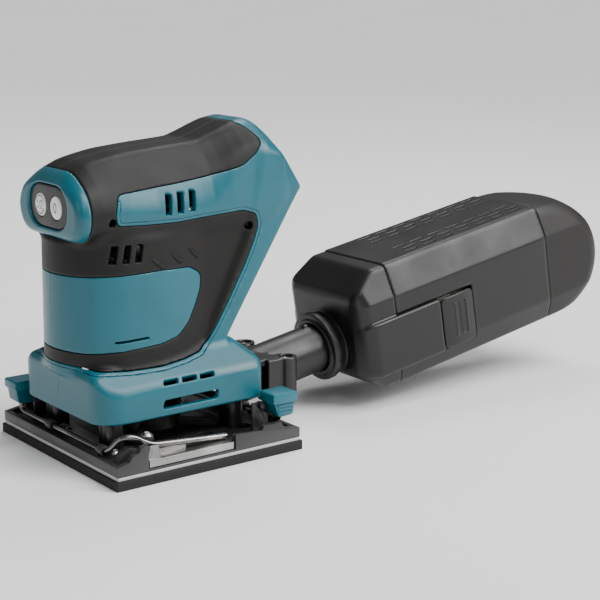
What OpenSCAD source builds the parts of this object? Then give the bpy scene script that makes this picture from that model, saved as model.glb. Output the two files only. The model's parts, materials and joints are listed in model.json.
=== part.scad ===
/* [Pad and base] */
// Length of the sanding pad from front to rear in mm
pad_l = 102; // [90:1:120]
// Width of the sanding pad from side to side in mm
pad_w = 112; // [95:1:130]
// Thickness of the foam cushion in mm
foam_t = 4.5; // [3:0.5:8]
// Thickness of the light backing layer in mm
layer_t = 1.6; // [1:0.1:3]
// How far the rigid base stands inside the foam edge in mm
base_inset = 1.1; // [0:0.1:3]
// Radius of each dust hole in the pad in mm
dust_hole_r = 4; // [3:0.5:6]
// Offset of the eccentric pin from the motor axis in mm
orbit_r = 0.75; // [0.5:0.05:1.5]

/* [Housing] */
// Half width of the skirt in mm
skirt_y = 39.5; // [38:0.5:42]
// Height of the lower edge of the skirt in mm
skirt_z = 24.6; // [23:0.2:26]
// Rear end of the skirt in mm
skirt_x1 = 41; // [39:0.5:42]
// Radius of the upright motor barrel in mm
barrel_r = 34; // [31:0.5:36]
// Half width of the handle in mm
grip_y = 30.5; // [28:0.5:32]
// Half width of the slanted rear column in mm
column_y = 27; // [26:0.5:29]
// Half width of the recessed web in mm
web_y = 24.5; // [24.5:0.1:26]
// Wall thickness of the housing in mm
wall = 3.2; // [3:0.1:4]
// Thickness of the soft grip layer in mm
soft = 1.5; // [1:0.1:1.6]

/* [Clamps] */
// Wire radius of the clamp levers in mm
wire_r = 1.5; // [1:0.1:2]
// Height of the lever axis in mm
lever_z = 12.8; // [12.6:0.1:14]
// Distance of the lever axis from the centre in mm
lever_x = 45.5; // [44:0.5:46]

/* [Dust box] */
// Upward tilt of the nozzle and dust box in degrees
tilt = 10; // [0:1:14]
// Outer radius of the nozzle tube in mm
tube_r = 12.6; // [11:0.1:14]
// Half width of the dust box in mm
box_y = 31; // [28:0.5:36]
// Wall thickness of the dust box in mm
box_wall = 2.2; // [1.8:0.1:3]

/* [Hidden] */
$fn = 64;
e = 0.02;
lx = pad_l / 2;
ly = pad_w / 2;
bx = lx - base_inset;
by = ly - base_inset;
z_foam = foam_t;
z_base = foam_t + layer_t;
z_floor = z_base + 3;
z_rim = z_base + 4.7;
barrel_x = -16.5;
head_x0 = -50.5;
skirt_x0 = -49;
seam_x = -45;
switch_z = 120;
btn_dy = 7.2;
slope = 57.6;
slope_x = 29.4;
slope_z = 53;
slope_len = 80.5;
tube_x = 96;
tube_z = 30;
seam_f = 37.5;
seam_r = 148;
feet = [[-36, 25.5], [-36, -25.5], [29, 27], [29, -27]];
// x, z and the side that each housing screw is driven from
screw_pts = [[-34.6, 114.3, 1], [41, 105.2, 1], [30, 67, -1], [52, 140, -1]];

// ---- outline helpers -------------------------------------------------------

function unit(v) = v / norm(v);

// moves every edge of a counter-clockwise outline inward by d
function inset(p, d) = [
  for (k = [0 : len(p) - 1])
    let (a = p[(k + len(p) - 1) % len(p)], b = p[k], c = p[(k + 1) % len(p)])
    let (u = unit(b - a), v = unit(c - b))
    let (m = [-u.y, u.x], n = [-v.y, v.x])
    b + d * (m + n) / (1 + m * n)
];

function arc(cx, cy, r, a0, a1, n) = [
  for (k = [0 : n])
    let (t = a0 + (a1 - a0) * k / n)
    [cx + r * cos(t), cy + r * sin(t)]
];

// outline in the X-Z plane, drawn across the tool from -w to +w
module side_slab(w, pts) {
  rotate([90, 0, 0])
    linear_extrude(height = 2 * w, center = true)
      polygon(pts);
}

// outline in the Y-Z plane, drawn along X from x0 to x1
module front_slab(x0, x1) {
  translate([x0, 0, 0])
    rotate([90, 0, 90])
      linear_extrude(height = x1 - x0)
        children();
}

module round_rect(x0, x1, y0, y1, r) {
  translate([x0 + r, y0])
    square([x1 - x0 - 2 * r, y1 - y0]);
  translate([x0, y0 + r])
    square([x1 - x0, y1 - y0 - 2 * r]);
  for (x = [x0 + r, x1 - r])
    for (y = [y0 + r, y1 - r])
      translate([x, y])
        circle(r = r);
}

module rod_x(x0, x1, y, z, r) {
  translate([x0, y, z])
    rotate([0, 90, 0])
      cylinder(r = r, h = x1 - x0);
}

module rod_y(y0, y1, x, z, r) {
  translate([x, y1, z])
    rotate([90, 0, 0])
      cylinder(r = r, h = y1 - y0);
}

module tube(r1, r0, z0, z1) {
  translate([0, 0, z0])
    difference() {
      cylinder(r = r1, h = z1 - z0);
      translate([0, 0, -1])
        cylinder(r = r0, h = z1 - z0 + 2);
    }
}

// local frame of the slanted battery face: X along the slope, Z out of the face
module slope_frame() {
  translate([slope_x, 0, slope_z])
    rotate([0, -slope, 0])
      rotate([180, 0, 0])
        children();
}

// local frame of the dust tube: X along the tube axis
module box_frame() {
  translate([tube_x, 0, tube_z])
    rotate([0, -tilt, 0])
      children();
}

// ---- housing shape ---------------------------------------------------------

head_pts = [
  [head_x0, 104], [50, 104], [62, 118], [62, 137], [60.5, 143.5], [57.5, 149], [51, 153],
  [43, 153.5], [34, 150.5], [24, 146.5], [14, 144.8], [-8, 143.8], [-25, 142.2],
  [-39, 139.3], [-45.5, 136.6], [-49, 134], [head_x0, 128]
];
column_pts = [
  [10, 45], [25, 45], [slope_x, slope_z], [72.5, 121], [62, 137], [50, 137], [42, 100], [20, 58]
];
web_pts = [[-30, 45], [18, 45], [30, 66], [48, 112], [-30, 112]];
skirt_side_pts = [
  [skirt_x0, skirt_z], [skirt_x1, skirt_z], [skirt_x1, 43], [33, 52], [20, 53], [-30, 49],
  [-47, 46.5], [skirt_x0, 44]
];

// handle outline across the tool: flat top, ridge, sloped flank, round bottom
module grip_section(i, top, knee_y, knee_z, side_z) {
  intersection() {
    round_rect(-grip_y + i, grip_y - i, 104.2 + i, 170, 14 - i);
    polygon(inset([
      [-grip_y, 90], [grip_y, 90], [grip_y, side_z], [knee_y, knee_z], [17, top],
      [-17, top], [-knee_y, knee_z], [-grip_y, side_z]
    ], i));
  }
}

module head(i) {
  intersection() {
    side_slab(grip_y + 1, inset(head_pts, i));
    union() {
      front_slab(-60, 70)
        grip_section(i, 144.2, 27, 130.5, 125);
      // the rear end rises to full height over a slanted flank
      intersection() {
        front_slab(10, 70)
          grip_section(i, 153.7, 27, 147.5, 141);
        translate([0, 0, 90])
          linear_extrude(height = 80)
            polygon(inset([[14, -15], [42, -31.5], [75, -31.5], [75, 31.5], [42, 31.5], [14, 15]], i));
      }
    }
    translate([0, 0, 90])
      linear_extrude(height = 80)
        polygon([
          [head_x0 + i, -25 + i], [-46 + i, -grip_y + i - 0.5], [70, -grip_y + i - 0.5],
          [70, grip_y - i + 0.5], [-46 + i, grip_y - i + 0.5], [head_x0 + i, 25 - i]
        ]);
  }
}

module barrel(i, z0, z1) {
  intersection() {
    translate([barrel_x, 0, z0])
      cylinder(r = barrel_r - i, h = z1 - z0);
    translate([-60, -31 + i, z0 - 1])
      cube([80, 62 - 2 * i, z1 - z0 + 2]);
  }
}

// plan outline of the skirt with wide front corners and tight rear corners
module skirt_plan(i) {
  x0 = skirt_x0 + i;
  x1 = skirt_x1 - i;
  y = skirt_y - i;
  translate([x0 + 12 - i, -y])
    square([x1 - x0 - 12 + i - 5 + i, 2 * y]);
  translate([x0, -y + 12 - i])
    square([x1 - x0 - 2, 2 * y - 24 + 2 * i]);
  translate([x1 - 5, -y + 5 - i])
    square([5, 2 * y - 10 + 2 * i]);
  for (s = [-1, 1]) {
    translate([x0 + 12 - i, s * (y - 12 + i)])
      circle(r = 12 - i);
    translate([x1 - 5 + i, s * (y - 5 + i)])
      circle(r = 5 - i);
  }
}

module skirt(i) {
  intersection() {
    translate([0, 0, skirt_z - 1])
      linear_extrude(height = 40)
        skirt_plan(i);
    side_slab(60, inset(skirt_side_pts, i));
    front_slab(-60, 60)
      polygon(inset([
        [-skirt_y, skirt_z], [skirt_y, skirt_z], [skirt_y, 39.5], [30, 48], [24, 54],
        [-24, 54], [-30, 48], [-skirt_y, 39.5]
      ], i));
  }
}

module upper_shape(i) {
  head(i);
  side_slab(column_y - i, inset(column_pts, i));
  side_slab(web_y - i, inset(web_pts, i));
  barrel(i, 44 + i, 106 - i);
  intersection() {
    translate([barrel_x, 0, 90])
      cylinder(r = barrel_r - 3 - i, h = 26);
    translate([-44.9, -26 + i, 80])
      cube([60, 52 - 2 * i, 40]);
  }
}

module outer_shape(i) {
  upper_shape(i);
  skirt(i);
}

// side-view outline of the soft grip zones
module soft_zone_2d() {
  difference() {
    polygon([
      [seam_x, 104.2], [-52, 104.2], [-52, 51], [-45, 48.6], [-33, 46.8], [-15, 46], [6, 47.6],
      [12, 49.5], [16, 53.3], [20, 60.5], [27, 72], [33.4, 84.2], [38.6, 94.2], [43, 104],
      [42.5, 109], [37, 112.3], [25, 113], [3, 112], [-27, 113], [-30, 116], [-30, 124],
      [-27, 127], [-7.5, 129.1], [9.2, 130.7], [26, 133], [37, 136], [45, 142], [46, 147],
      [42, 156], [seam_x, 156]
    ]);
    polygon(concat(
      [[-60, 54.5], [-44, 55], [-28, 56], [-5, 58], [1, 61], [7.5, 67], [10, 81]],
      arc(5.5, 84.5, 4.5, 0, 90, 4),
      [[-10, 90.2], [-40, 91.2], [-60, 93.5]]
    ));
  }
}

module soft_zone() {
  rotate([90, 0, 0])
    linear_extrude(height = 80, center = true)
      soft_zone_2d();
}

module soft_layer() {
  intersection() {
    difference() {
      outer_shape(0);
      outer_shape(soft - e);
    }
    soft_zone();
    translate([seam_x + 0.1, -50, 40])
      cube([120, 100, 130]);
    union() {
      translate([seam_x + 0.1, -50, 100])
        cube([120, 100, 70]);
      upper_shape(0);
    }
  }
  intersection() {
    difference() {
      barrel(0, 44, 104.1);
      barrel(soft - e, 43, 105);
    }
    soft_zone();
    translate([-60, -50, 40])
      cube([15.1, 100, 64.1]);
    difference() {
      barrel(0, 44, 104.1);
      skirt(0);
    }
  }
}

// battery slot: T-shaped groove along the slanted face, open at the top
module battery_slot(g) {
  slope_frame() {
    translate([13 - g, -18.5 - g, -2.6])
      cube([90, 37 + 2 * g, 10]);
    translate([13 - g, -21.5 - g, -6.5 - g])
      cube([90, 43 + 2 * g, 4 + 2 * g]);
  }
}

module vents(side) {
  scale([1, side, 1]) {
    // three upright slots in the handle side
    for (x = [-4.5, 2, 8.5])
      translate([x - 1.7, -40, 114.5])
        cube([3.4, 20, 10.5]);
    // three slanted slots in the web
    for (x = [-35.7, -29.7, -23.7])
      side_cut(x);
    // thin slot low on the barrel
    translate([-35, -40, 59.2])
      cube([18, 14, 1.6]);
    // three small windows and the long slot in the skirt
    for (x = [-17.5, -7.7, 2.1])
      translate([x, -50, 38.4])
        cube([8.2, 24, 3.4]);
    translate([0, -34, 0])
      rotate([90, 0, 0])
        linear_extrude(height = 10)
          round_rect(-17, 14, 27.6, 32.4, 2.3);
  }
}

module side_cut(x) {
  rotate([90, 0, 0])
    linear_extrude(height = 40)
      polygon([[x, 96], [x + 2.6, 96], [x + 4.2, 102.6], [x + 1.6, 102.6]]);
}

module inner_space() {
  difference() {
    upper_shape(wall);
    translate([-80, -60, 0])
      cube([200, 120, 46]);
  }
  intersection() {
    skirt(wall);
    translate([-80, -60, 0])
      cube([200, 120, 43]);
  }
  translate([0, 0, skirt_z - 2])
    linear_extrude(height = 8)
      skirt_plan(wall);
}

module inner_ribs() {
  // two plates that hold the motor can and one that holds the upper bearing
  difference() {
    intersection() {
      upper_shape(wall - 0.5);
      union() {
        translate([-60, -40, 60])
          cube([110, 80, 2.4]);
        translate([-60, -40, 96])
          cube([110, 80, 2.4]);
      }
    }
    translate([0, 0, 50])
      cylinder(r = 21.05, h = 60);
    translate([-44, -12, 50])
      cube([14, 24, 60]);
  }
  intersection() {
    upper_shape(wall - 0.5);
    difference() {
      translate([-15, -40, 104.3])
        cube([30, 80, 5.6]);
      translate([0, 0, 100])
        cylinder(r = 8.04, h = 12);
    }
  }
  // lower bearing seat on the baffle
  tube(14.5, 11.04, 43, 53);
  // rests for the two circuit boards
  intersection() {
    upper_shape(wall - 0.5);
    union() {
      for (x = [-12, 24])
        translate([x, -40, 106])
          cube([1.5, 80, 9.95]);
      for (y = [-31, 17.05])
        translate([-43.2, y, 112])
          cube([2.2, 13.95, 20]);
    }
  }
  // bosses for the housing screws
  for (p = screw_pts)
    intersection() {
      rod_y(-30, 30, p.x, p.y, 4.4);
      upper_shape(0.5);
    }
  // sockets around the upper ends of the foot posts
  for (p = feet)
    translate([p.x, p.y, 0])
      difference() {
        translate([0, 0, 28])
          cylinder(r = 8.5, h = 16);
        translate([0, 0, 27])
          cylinder(r = 6.6, h = 16);
      }
}

module housing() {
  difference() {
    union() {
      difference() {
        outer_shape(0);
        inner_space();
      }
      difference() {
        inner_ribs();
        battery_slot(2.4);
      }
      intersection() {
        outer_shape(0.2);
        battery_slot(2.4);
      }
    }
    battery_slot(0);
    // soft grip recess
    soft_layer_cut();
    // front opening behind the bezel
    translate([-60, -40, 104.1])
      cube([15, 80, 50]);
    // air passages through the baffle
    for (k = [0 : 5])
      rotate([0, 0, 30 + 60 * k])
        translate([19.5, 0, 40])
          cylinder(r = 4.2, h = 10);
    translate([0, 0, 40])
      cylinder(r = 8, h = 8);
    translate([0, 0, 45.4])
      cylinder(r = 11.04, h = 8);
    // outlet to the dust nozzle
    translate([skirt_x1 - 6, -12, skirt_z - 5])
      cube([12, 24, 16.4]);
    // windows through the ribs are left open for cooling air
    vents(1);
    vents(-1);
    for (p = screw_pts)
      scale([1, p.z, 1]) {
        rod_y(-40, 15, p.x, p.y, 1.95);
        rod_y(-40, -21, p.x, p.y, 2.7);
      }
    // seat of the terminal block
    slope_frame()
      translate([26, -14.05, -9])
        cube([34, 28.1, 6]);
  }
}

module soft_layer_cut() {
  intersection() {
    difference() {
      union() {
        outer_shape(-0.5);
      }
      outer_shape(soft);
    }
    soft_zone();
    translate([seam_x, -50, 40])
      cube([120, 100, 130]);
    union() {
      translate([seam_x, -50, 100])
        cube([120, 100, 70]);
      upper_shape(-0.5);
    }
    difference() {
      translate([-100, -60, 0])
        cube([300, 120, 200]);
      difference() {
        skirt(0);
        upper_shape(0);
      }
    }
  }
  intersection() {
    difference() {
      barrel(-0.5, 44, 104.2);
      barrel(soft, 43, 105);
    }
    soft_zone();
    translate([-60, -50, 40])
      cube([15.1, 100, 64.2]);
    difference() {
      translate([-100, -60, 0])
        cube([300, 120, 200]);
      skirt(0);
    }
  }
}

module left_side() {
  intersection() {
    children();
    translate([-100, -100, 0])
      cube([300, 100 - e, 200]);
  }
}

module right_side() {
  intersection() {
    children();
    translate([-100, e, 0])
      cube([300, 100, 200]);
  }
}

module housing_left() {
  color([0.02, 0.33, 0.38])
    left_side()
      housing();
}

module housing_right() {
  color([0.02, 0.33, 0.38])
    right_side()
      housing();
}

module soft_layer_open() {
  difference() {
    soft_layer();
    vents(1);
    vents(-1);
    for (p = screw_pts)
      scale([1, p.z, 1])
        rod_y(-40, -21, p.x, p.y, 2.7);
  }
}

module grip_left() {
  color([0.1, 0.095, 0.09])
    left_side()
      soft_layer_open();
}

module grip_right() {
  color([0.1, 0.095, 0.09])
    right_side()
      soft_layer_open();
}

// ---- switch ----------------------------------------------------------------

module boot_outline(g) {
  round_rect(-17.3 - g, 17.3 + g, switch_z - 10.2 - g, switch_z + 10.2 + g, 10.1 + g);
}

module switch_bezel() {
  color([0.02, 0.33, 0.38])
    difference() {
      intersection() {
        head(0);
        translate([-60, -40, 104.15])
          cube([14.95, 80, 50]);
      }
      front_slab(-60, -40)
        boot_outline(0);
      intersection() {
        head(2.4);
        translate([-48, -40, 104])
          cube([4, 80, 50]);
      }
    }
}

module switch_boot() {
  color([0.07, 0.07, 0.07])
    difference() {
      union() {
        front_slab(head_x0 + 0.6, -46)
          boot_outline(-0.05);
        intersection() {
          front_slab(-48, -46)
            boot_outline(1.5);
          head(2.45);
        }
      }
      for (s = [-1, 1]) {
        rod_x(-55, -40, s * btn_dy, switch_z, 5.45);
        rod_x(-47.6, -40, s * btn_dy, switch_z, 6.4);
      }
      front_slab(-48.1, -47.95)
        difference() {
          boot_outline(4);
          boot_outline(-0.06);
        }
    }
}

module button(s) {
  rod_x(head_x0 - 0.3, -46.2, s * btn_dy, switch_z, 5.35);
  rod_x(-47.5, -46.2, s * btn_dy, switch_z, 6.25);
}

module button_speed() {
  color([0.92, 0.92, 0.9])
    button(1);
}

module button_off() {
  color([0.92, 0.92, 0.9])
    button(-1);
}

module switch_board() {
  color([0.1, 0.3, 0.16]) {
    translate([-43, -17, switch_z - 8.5])
      cube([1.6, 34, 17]);
    for (s = [-1, 1]) {
      translate([-44.3, s * btn_dy - 3, switch_z - 3])
        cube([1.3, 6, 6]);
      rod_x(-44.9, -44.3, s * btn_dy, switch_z, 1.6);
    }
  }
}

module controller_board() {
  color([0.1, 0.3, 0.16]) {
    translate([-16, -14, 116])
      cube([44, 28, 1.6]);
    translate([-10, -9, 117.6])
      cube([14, 8, 5]);
    translate([16, 4, 117.6])
      cylinder(r = 4, h = 10);
    translate([8, -11, 117.6])
      cube([15, 3, 9]);
  }
}

module housing_screws() {
  color([0.25, 0.25, 0.26])
    for (p = screw_pts)
      scale([1, p.z, 1])
        difference() {
          union() {
            rod_y(-21 - 2.4, -21 - e, p.x, p.y, 2.6);
            rod_y(-21.5, 14, p.x, p.y, 1.9);
          }
          rod_y(-25, -22.2, p.x, p.y, 1.4);
        }
}

module battery_terminal() {
  color([0.12, 0.12, 0.12])
    slope_frame()
      difference() {
        translate([26.05, -14, -8.9])
          cube([33.9, 28, 6.2]);
        for (y = [-9.5, 9.5])
          translate([34, y - 1.6, -6])
            cube([18, 3.2, 4]);
        for (y = [-4, 0, 4])
          translate([38, y - 0.9, -6])
            cube([12, 1.8, 4]);
      }
}

module terminal_blades() {
  color([0.75, 0.6, 0.3])
    slope_frame() {
      for (y = [-9.5, 9.5])
        translate([35, y - 0.5, -5.98])
          cube([16, 1, 5.2]);
      for (y = [-4, 0, 4])
        translate([39, y - 0.3, -5.98])
          cube([10, 0.6, 4.4]);
    }
}

// ---- motor -----------------------------------------------------------------

module motor_can() {
  color([0.45, 0.45, 0.46])
    difference() {
      translate([0, 0, 56])
        cylinder(r = 21, h = 44);
      translate([0, 0, 57.5])
        cylinder(r = 19.6, h = 50);
      translate([0, 0, 50])
        cylinder(r = 8, h = 20);
      for (k = [0 : 3])
        rotate([0, 0, 45 + 90 * k])
          translate([13.5, 0, 50])
            cylinder(r = 3, h = 20);
    }
}

module motor_magnets() {
  color([0.2, 0.2, 0.2])
    for (s = [-1, 1])
      intersection() {
        tube(19.55, 16.6, 61, 88);
        scale([1, s, 1])
          translate([-14, 0, 60])
            cube([28, 30, 40]);
      }
}

module motor_end_bell() {
  color([0.15, 0.15, 0.15]) {
    difference() {
      union() {
        translate([0, 0, 100.02])
          cylinder(r = 20.9, h = 2.6);
        translate([0, 0, 98])
          cylinder(r = 19.5, h = 2.1);
        for (s = [-1, 1])
          translate([s * 12.8 - 5.4, -4, 92.5])
            cube([10.8, 8, 6]);
      }
      translate([0, 0, 90])
        cylinder(r = 7.2, h = 20);
      for (s = [-1, 1])
        translate([s * 12 - 6, -2.4, 93.6])
          cube([12, 4.8, 4.8]);
      for (k = [0 : 3])
        rotate([0, 0, 45 + 90 * k])
          translate([14, 0, 90])
            cylinder(r = 3, h = 20);
    }
  }
}

module motor_brushes() {
  color([0.1, 0.1, 0.1])
    for (s = [-1, 1])
      translate([s * 11.1 - 4.9, -2.2, 93.8])
        cube([9.8, 4.4, 4.4]);
}

module rotor_core() {
  color([0.5, 0.5, 0.52])
    difference() {
      tube(15.8, 4.02, 62, 86);
      for (k = [0 : 4])
        rotate([0, 0, 72 * k]) {
          translate([14, -1.1, 60])
            cube([4, 2.2, 30]);
          translate([11, 0, 60])
            cylinder(r = 3.2, h = 30);
        }
    }
}

module rotor_windings() {
  color([0.65, 0.3, 0.12]) {
    for (z = [58.4, 86.05])
      difference() {
        tube(14.2, 4.05, z, z + 3.5);
        for (k = [0 : 4])
          rotate([0, 0, 72 * k + 36])
            translate([10, -1, z - 1])
              cube([6, 2, 6]);
      }
    for (k = [0 : 4])
      rotate([0, 0, 72 * k])
        translate([11, 0, 61.9])
          cylinder(r = 3.1, h = 24.15);
  }
}

module commutator() {
  color([0.72, 0.45, 0.2])
    difference() {
      tube(6, 2.52, 92.3, 99.6);
      for (k = [0 : 9])
        rotate([0, 0, 36 * k])
          translate([5.2, -0.25, 93.5])
            cube([2, 0.5, 8]);
    }
}

module motor_shaft() {
  color([0.7, 0.7, 0.72]) {
    translate([0, 0, 24.1])
      cylinder(r = 4, h = 68);
    translate([0, 0, 92.05])
      cylinder(r = 2.5, h = 18);
  }
}

module race_outer(ro, ri, w) {
  tube(ro, ro - 1.7, 0, w);
  rp = (ro - 1.7 + ri + 1.7) / 2;
  rb = (ro - ri - 3.4) / 2 - 0.04;
  for (k = [0 : 7])
    rotate([0, 0, 45 * k])
      translate([rp, 0, w / 2])
        sphere(r = rb);
}

module race_inner(ri, w) {
  tube(ri + 1.7, ri + 0.01, 0, w);
}

module upper_bearing_outer() {
  color([0.6, 0.6, 0.62])
    translate([0, 0, 104.5])
      race_outer(8, 2.5, 5);
}

module upper_bearing_inner() {
  color([0.7, 0.7, 0.72])
    translate([0, 0, 104.5])
      race_inner(2.5, 5);
}

module lower_bearing_outer() {
  color([0.6, 0.6, 0.62])
    translate([0, 0, 45.6])
      race_outer(11, 4, 7);
}

module lower_bearing_inner() {
  color([0.7, 0.7, 0.72])
    translate([0, 0, 45.6])
      race_inner(4, 7);
}

module pad_bearing_outer() {
  color([0.6, 0.6, 0.62])
    translate([orbit_r, 0, 12.4])
      race_outer(11, 4, 7);
}

module pad_bearing_inner() {
  color([0.7, 0.7, 0.72])
    translate([orbit_r, 0, 12.4])
      race_inner(4, 7);
}

module fan() {
  color([0.12, 0.12, 0.12]) {
    tube(29, 8, 30.6, 32.4);
    tube(8.2, 4.02, 30.6, 41);
    for (k = [0 : 11])
      rotate([0, 0, 30 * k])
        translate([10, -0.7, 32.3])
          cube([18.5, 1.4, 8.7]);
  }
}

module eccentric() {
  color([0.5, 0.5, 0.52]) {
    difference() {
      union() {
        translate([0, 0, 22])
          cylinder(r = 9, h = 8.4);
        intersection() {
          translate([0, 0, 22])
            cylinder(r = 23, h = 8);
          translate([-30, -18, 20])
            cube([27, 36, 12]);
        }
      }
      translate([0, 0, 24])
        cylinder(r = 4.02, h = 8);
    }
    translate([orbit_r, 0, 12])
      cylinder(r = 4, h = 10.1);
    translate([orbit_r, 0, 19.5])
      cylinder(r = 5.6, h = 2.6);
  }
}

// ---- pad and base ----------------------------------------------------------

module dust_holes(z0, z1) {
  for (x = [-33, -11, 11, 33])
    for (y = [-32, 32])
      translate([x, y, z0])
        cylinder(r = dust_hole_r, h = z1 - z0);
}

module pad_cushion() {
  color([0.08, 0.08, 0.08])
    difference() {
      linear_extrude(height = z_foam)
        round_rect(-lx, lx, -ly, ly, 0.8);
      dust_holes(-1, z_foam + 1);
    }
}

module pad_layer() {
  color([0.78, 0.76, 0.74])
    difference() {
      translate([0, 0, z_foam + e])
        linear_extrude(height = layer_t - 2 * e)
          round_rect(-bx, bx, -by, by, 0.8);
      dust_holes(z_foam - 1, z_base + 1);
    }
}

// one tall front block on this side, one long stepped block, seen from the side
module corner_blocks() {
  side_part(-by, -by + 3, [
    [-bx, z_base], [-34, z_base], [-34, 18.5], [-37.5, 17.6], [-39, 15.4], [-42, 14.6],
    [-44, 12], [-bx, z_rim]
  ]);
  side_part(-by, -by + 3, [
    [13, z_base], [bx, z_base], [bx, z_rim], [41, 12.2], [39, 15.2], [29, 15.2], [28, 13.2], [13, 14]
  ]);
}

module side_part(y0, y1, pts) {
  translate([0, y1, 0])
    rotate([90, 0, 0])
      linear_extrude(height = y1 - y0)
        polygon(pts);
}

module base_plate() {
  color([0.09, 0.09, 0.09])
    difference() {
      union() {
        translate([0, 0, z_base])
          linear_extrude(height = 3)
            round_rect(-bx, bx, -by, by, 0.8);
        // raised rims at the front and the rear
        for (s = [-1, 1])
          translate([s * (bx - 1.25) - 1.25, -by, z_base])
            cube([2.5, 2 * by, z_rim - z_base]);
        for (a = [0, 180])
          rotate([0, 0, a])
            corner_blocks();
        // hub for the pad bearing
        translate([orbit_r, 0, z_base])
          cylinder(r = 14.4, h = 19.6 - z_base);
        // humps under the lever bends and posts for the clamp screws
        for (a = [0, 180])
          rotate([0, 0, a]) {
            side_part(-48.2, -43.4, [
              [-46.5, 8], [-33.5, 8], [-33.5, 13.5], [-36, 15.4], [-40, 16.2], [-42.4, 14.8], [-44.4, 13]
            ]);
            translate([-27, -42, z_base])
              cylinder(r = 3.2, h = 18.2 - z_base);
          }
        // stiffening ribs
        for (a = [45 : 90 : 315])
          translate([orbit_r, 0, z_base])
            rotate([0, 0, a])
              translate([12, -1.2, 0])
                cube([18.5, 2.4, 6.5]);
        // raised shelves that carry the clamp plates
        for (a = [0, 180])
          rotate([0, 0, a])
            translate([-33, -46, z_base])
              cube([45, 3, 5.2]);
        for (a = [0, 180])
          rotate([0, 0, a])
            for (x = [-33, -9.2]) {
              translate([x, -46, z_base + 2])
                cube([2.2, 1.5, 5.5]);
              translate([x, -47.1, 11.8])
                cube([2.2, 2.6, 1.8]);
            }
      }
      translate([orbit_r, 0, 12.3])
        cylinder(r = 11.02, h = 10);
      translate([orbit_r, 0, z_base + 1.5])
        cylinder(r = 7, h = 10);
      for (a = [0, 180])
        rotate([0, 0, a])
          rod_x(-40, 0, -46.4, 12.9, 0.52);
      // side cut-outs under the clamp plates
      for (a = [0, 180])
        rotate([0, 0, a])
          translate([-34, -by - 1, z_base + 1])
            cube([47, 7.5, 12.8]);
      dust_holes(z_base - 1, z_floor + 1);
    }
}

module foot_posts() {
  color([0.1, 0.1, 0.1])
    for (p = feet)
      translate([p.x, p.y, 0]) {
        translate([0, 0, z_floor + e])
          linear_extrude(height = 13)
            round_rect(-4, 4, -6, 6, 2.5);
        translate([0, 0, z_floor + 5])
          cylinder(r = 4.6, h = 40.5 - z_floor - 5);
      }
}

// ---- paper clamps ----------------------------------------------------------

module clamp_plate() {
  difference() {
    union() {
      // pressing strip with a turned-down outer lip
      translate([-33.2, -by + 0.5, 9.6])
        cube([45.4, 8, 1.2]);
      translate([-33.2, -by + 0.5, 7.5])
        cube([45.4, 1.2, 3.3]);
      // raised tab
      side_part(-52.4, -51.2, [[-33, 10], [-26, 10], [-27.2, 16.6], [-31.8, 16.6]]);
      // hinge knuckle on the shelf
      rod_x(-30, -10, -46.4, 12.9, 1.1);
      translate([-30, -48, 10.6])
        cube([20, 1.2, 2.4]);
      translate([-30, -48, 11.9])
        cube([20, 1.8, 1.2]);
    }
    rod_x(-40, 40, -46.4, 12.9, 0.5);
  }
}

module clamp_pins() {
  color([0.6, 0.6, 0.62])
    for (a = [0, 180])
      rotate([0, 0, a])
        rod_x(-33, -7, -46.4, 12.9, 0.45);
}

module clamp_plate_left() {
  color([0.62, 0.62, 0.61])
    clamp_plate();
}

module clamp_plate_right() {
  color([0.62, 0.62, 0.61])
    rotate([0, 0, 180])
      clamp_plate();
}

// straight round wire between two points, with a rounded start
module wire(a, b) {
  d = b - a;
  translate(a)
    sphere(r = wire_r + 0.03);
  translate(a)
    rotate([0, acos(d.z / norm(d)), atan2(d.y, d.x)])
      cylinder(r = wire_r, h = norm(d));
}

lever_path = [
  [-lever_x, 44.5, 26], [-lever_x, 44.5, lever_z], [-lever_x, -38.5, lever_z], [-42, -43.5, 20.2],
  [-36.5, -46.6, 20.4], [-29, -49, 16], [11, -49, 12.7]
];

// bent wire: riser to the knob, cross run in the clips, pressing arm along the side
module lever() {
  for (k = [0 : len(lever_path) - 2])
    wire(lever_path[k], lever_path[k + 1]);
}

module lever_left() {
  color([0.72, 0.72, 0.73])
    lever();
}

module lever_right() {
  color([0.72, 0.72, 0.73])
    rotate([0, 0, 180])
      lever();
}

module knob() {
  difference() {
    union() {
      // thumb plate
      side_part(41.2, 52.6, [
        [-36.4, 23.6], [-36.4, 27.6], [-37, 28.2], [-49.6, 28.2], [-50.3, 27.5], [-50.3, 24.4], [-49.4, 23.2]
      ]);
      // tapered stem with grip ribs on its outer side
      side_part(42, 51.6, [[-37.4, 24], [-49.4, 24], [-48.4, 18], [-47.6, 17], [-40.6, 16.6], [-39.4, 17.6]]);
      for (z = [18, 19.8, 21.6])
        side_part(51.5, 52.2, [[-39.4, z], [-39.4, z + 0.9], [-47.8, z + 0.9], [-47.8, z]]);
    }
    translate([-lever_x, 44.5, 12])
      cylinder(r = wire_r + 0.02, h = 14);
    translate([-lever_x, 44.5, 26])
      sphere(r = wire_r + 0.06);
  }
}

module lever_knob_left() {
  color([0.02, 0.36, 0.4])
    knob();
}

module lever_knob_right() {
  color([0.02, 0.36, 0.4])
    rotate([0, 0, 180])
      knob();
}

module lever_clips() {
  color([0.4, 0.4, 0.41])
    for (a = [0, 180])
      rotate([0, 0, a])
        for (y = [-34.3, 14])
          difference() {
            union() {
              translate([-lever_x - 1, y - 2.5, z_floor + e])
                cube([10.2, 5, 1.2]);
              rod_y(y - 2.5, y + 2.5, -lever_x, lever_z, wire_r + 1.1);
              translate([-lever_x, y - 2.5, z_floor + e])
                cube([3, 5, lever_z - z_floor]);
            }
            rod_y(y - 4, y + 4, -lever_x, lever_z, wire_r + 0.06);
          }
}

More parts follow.
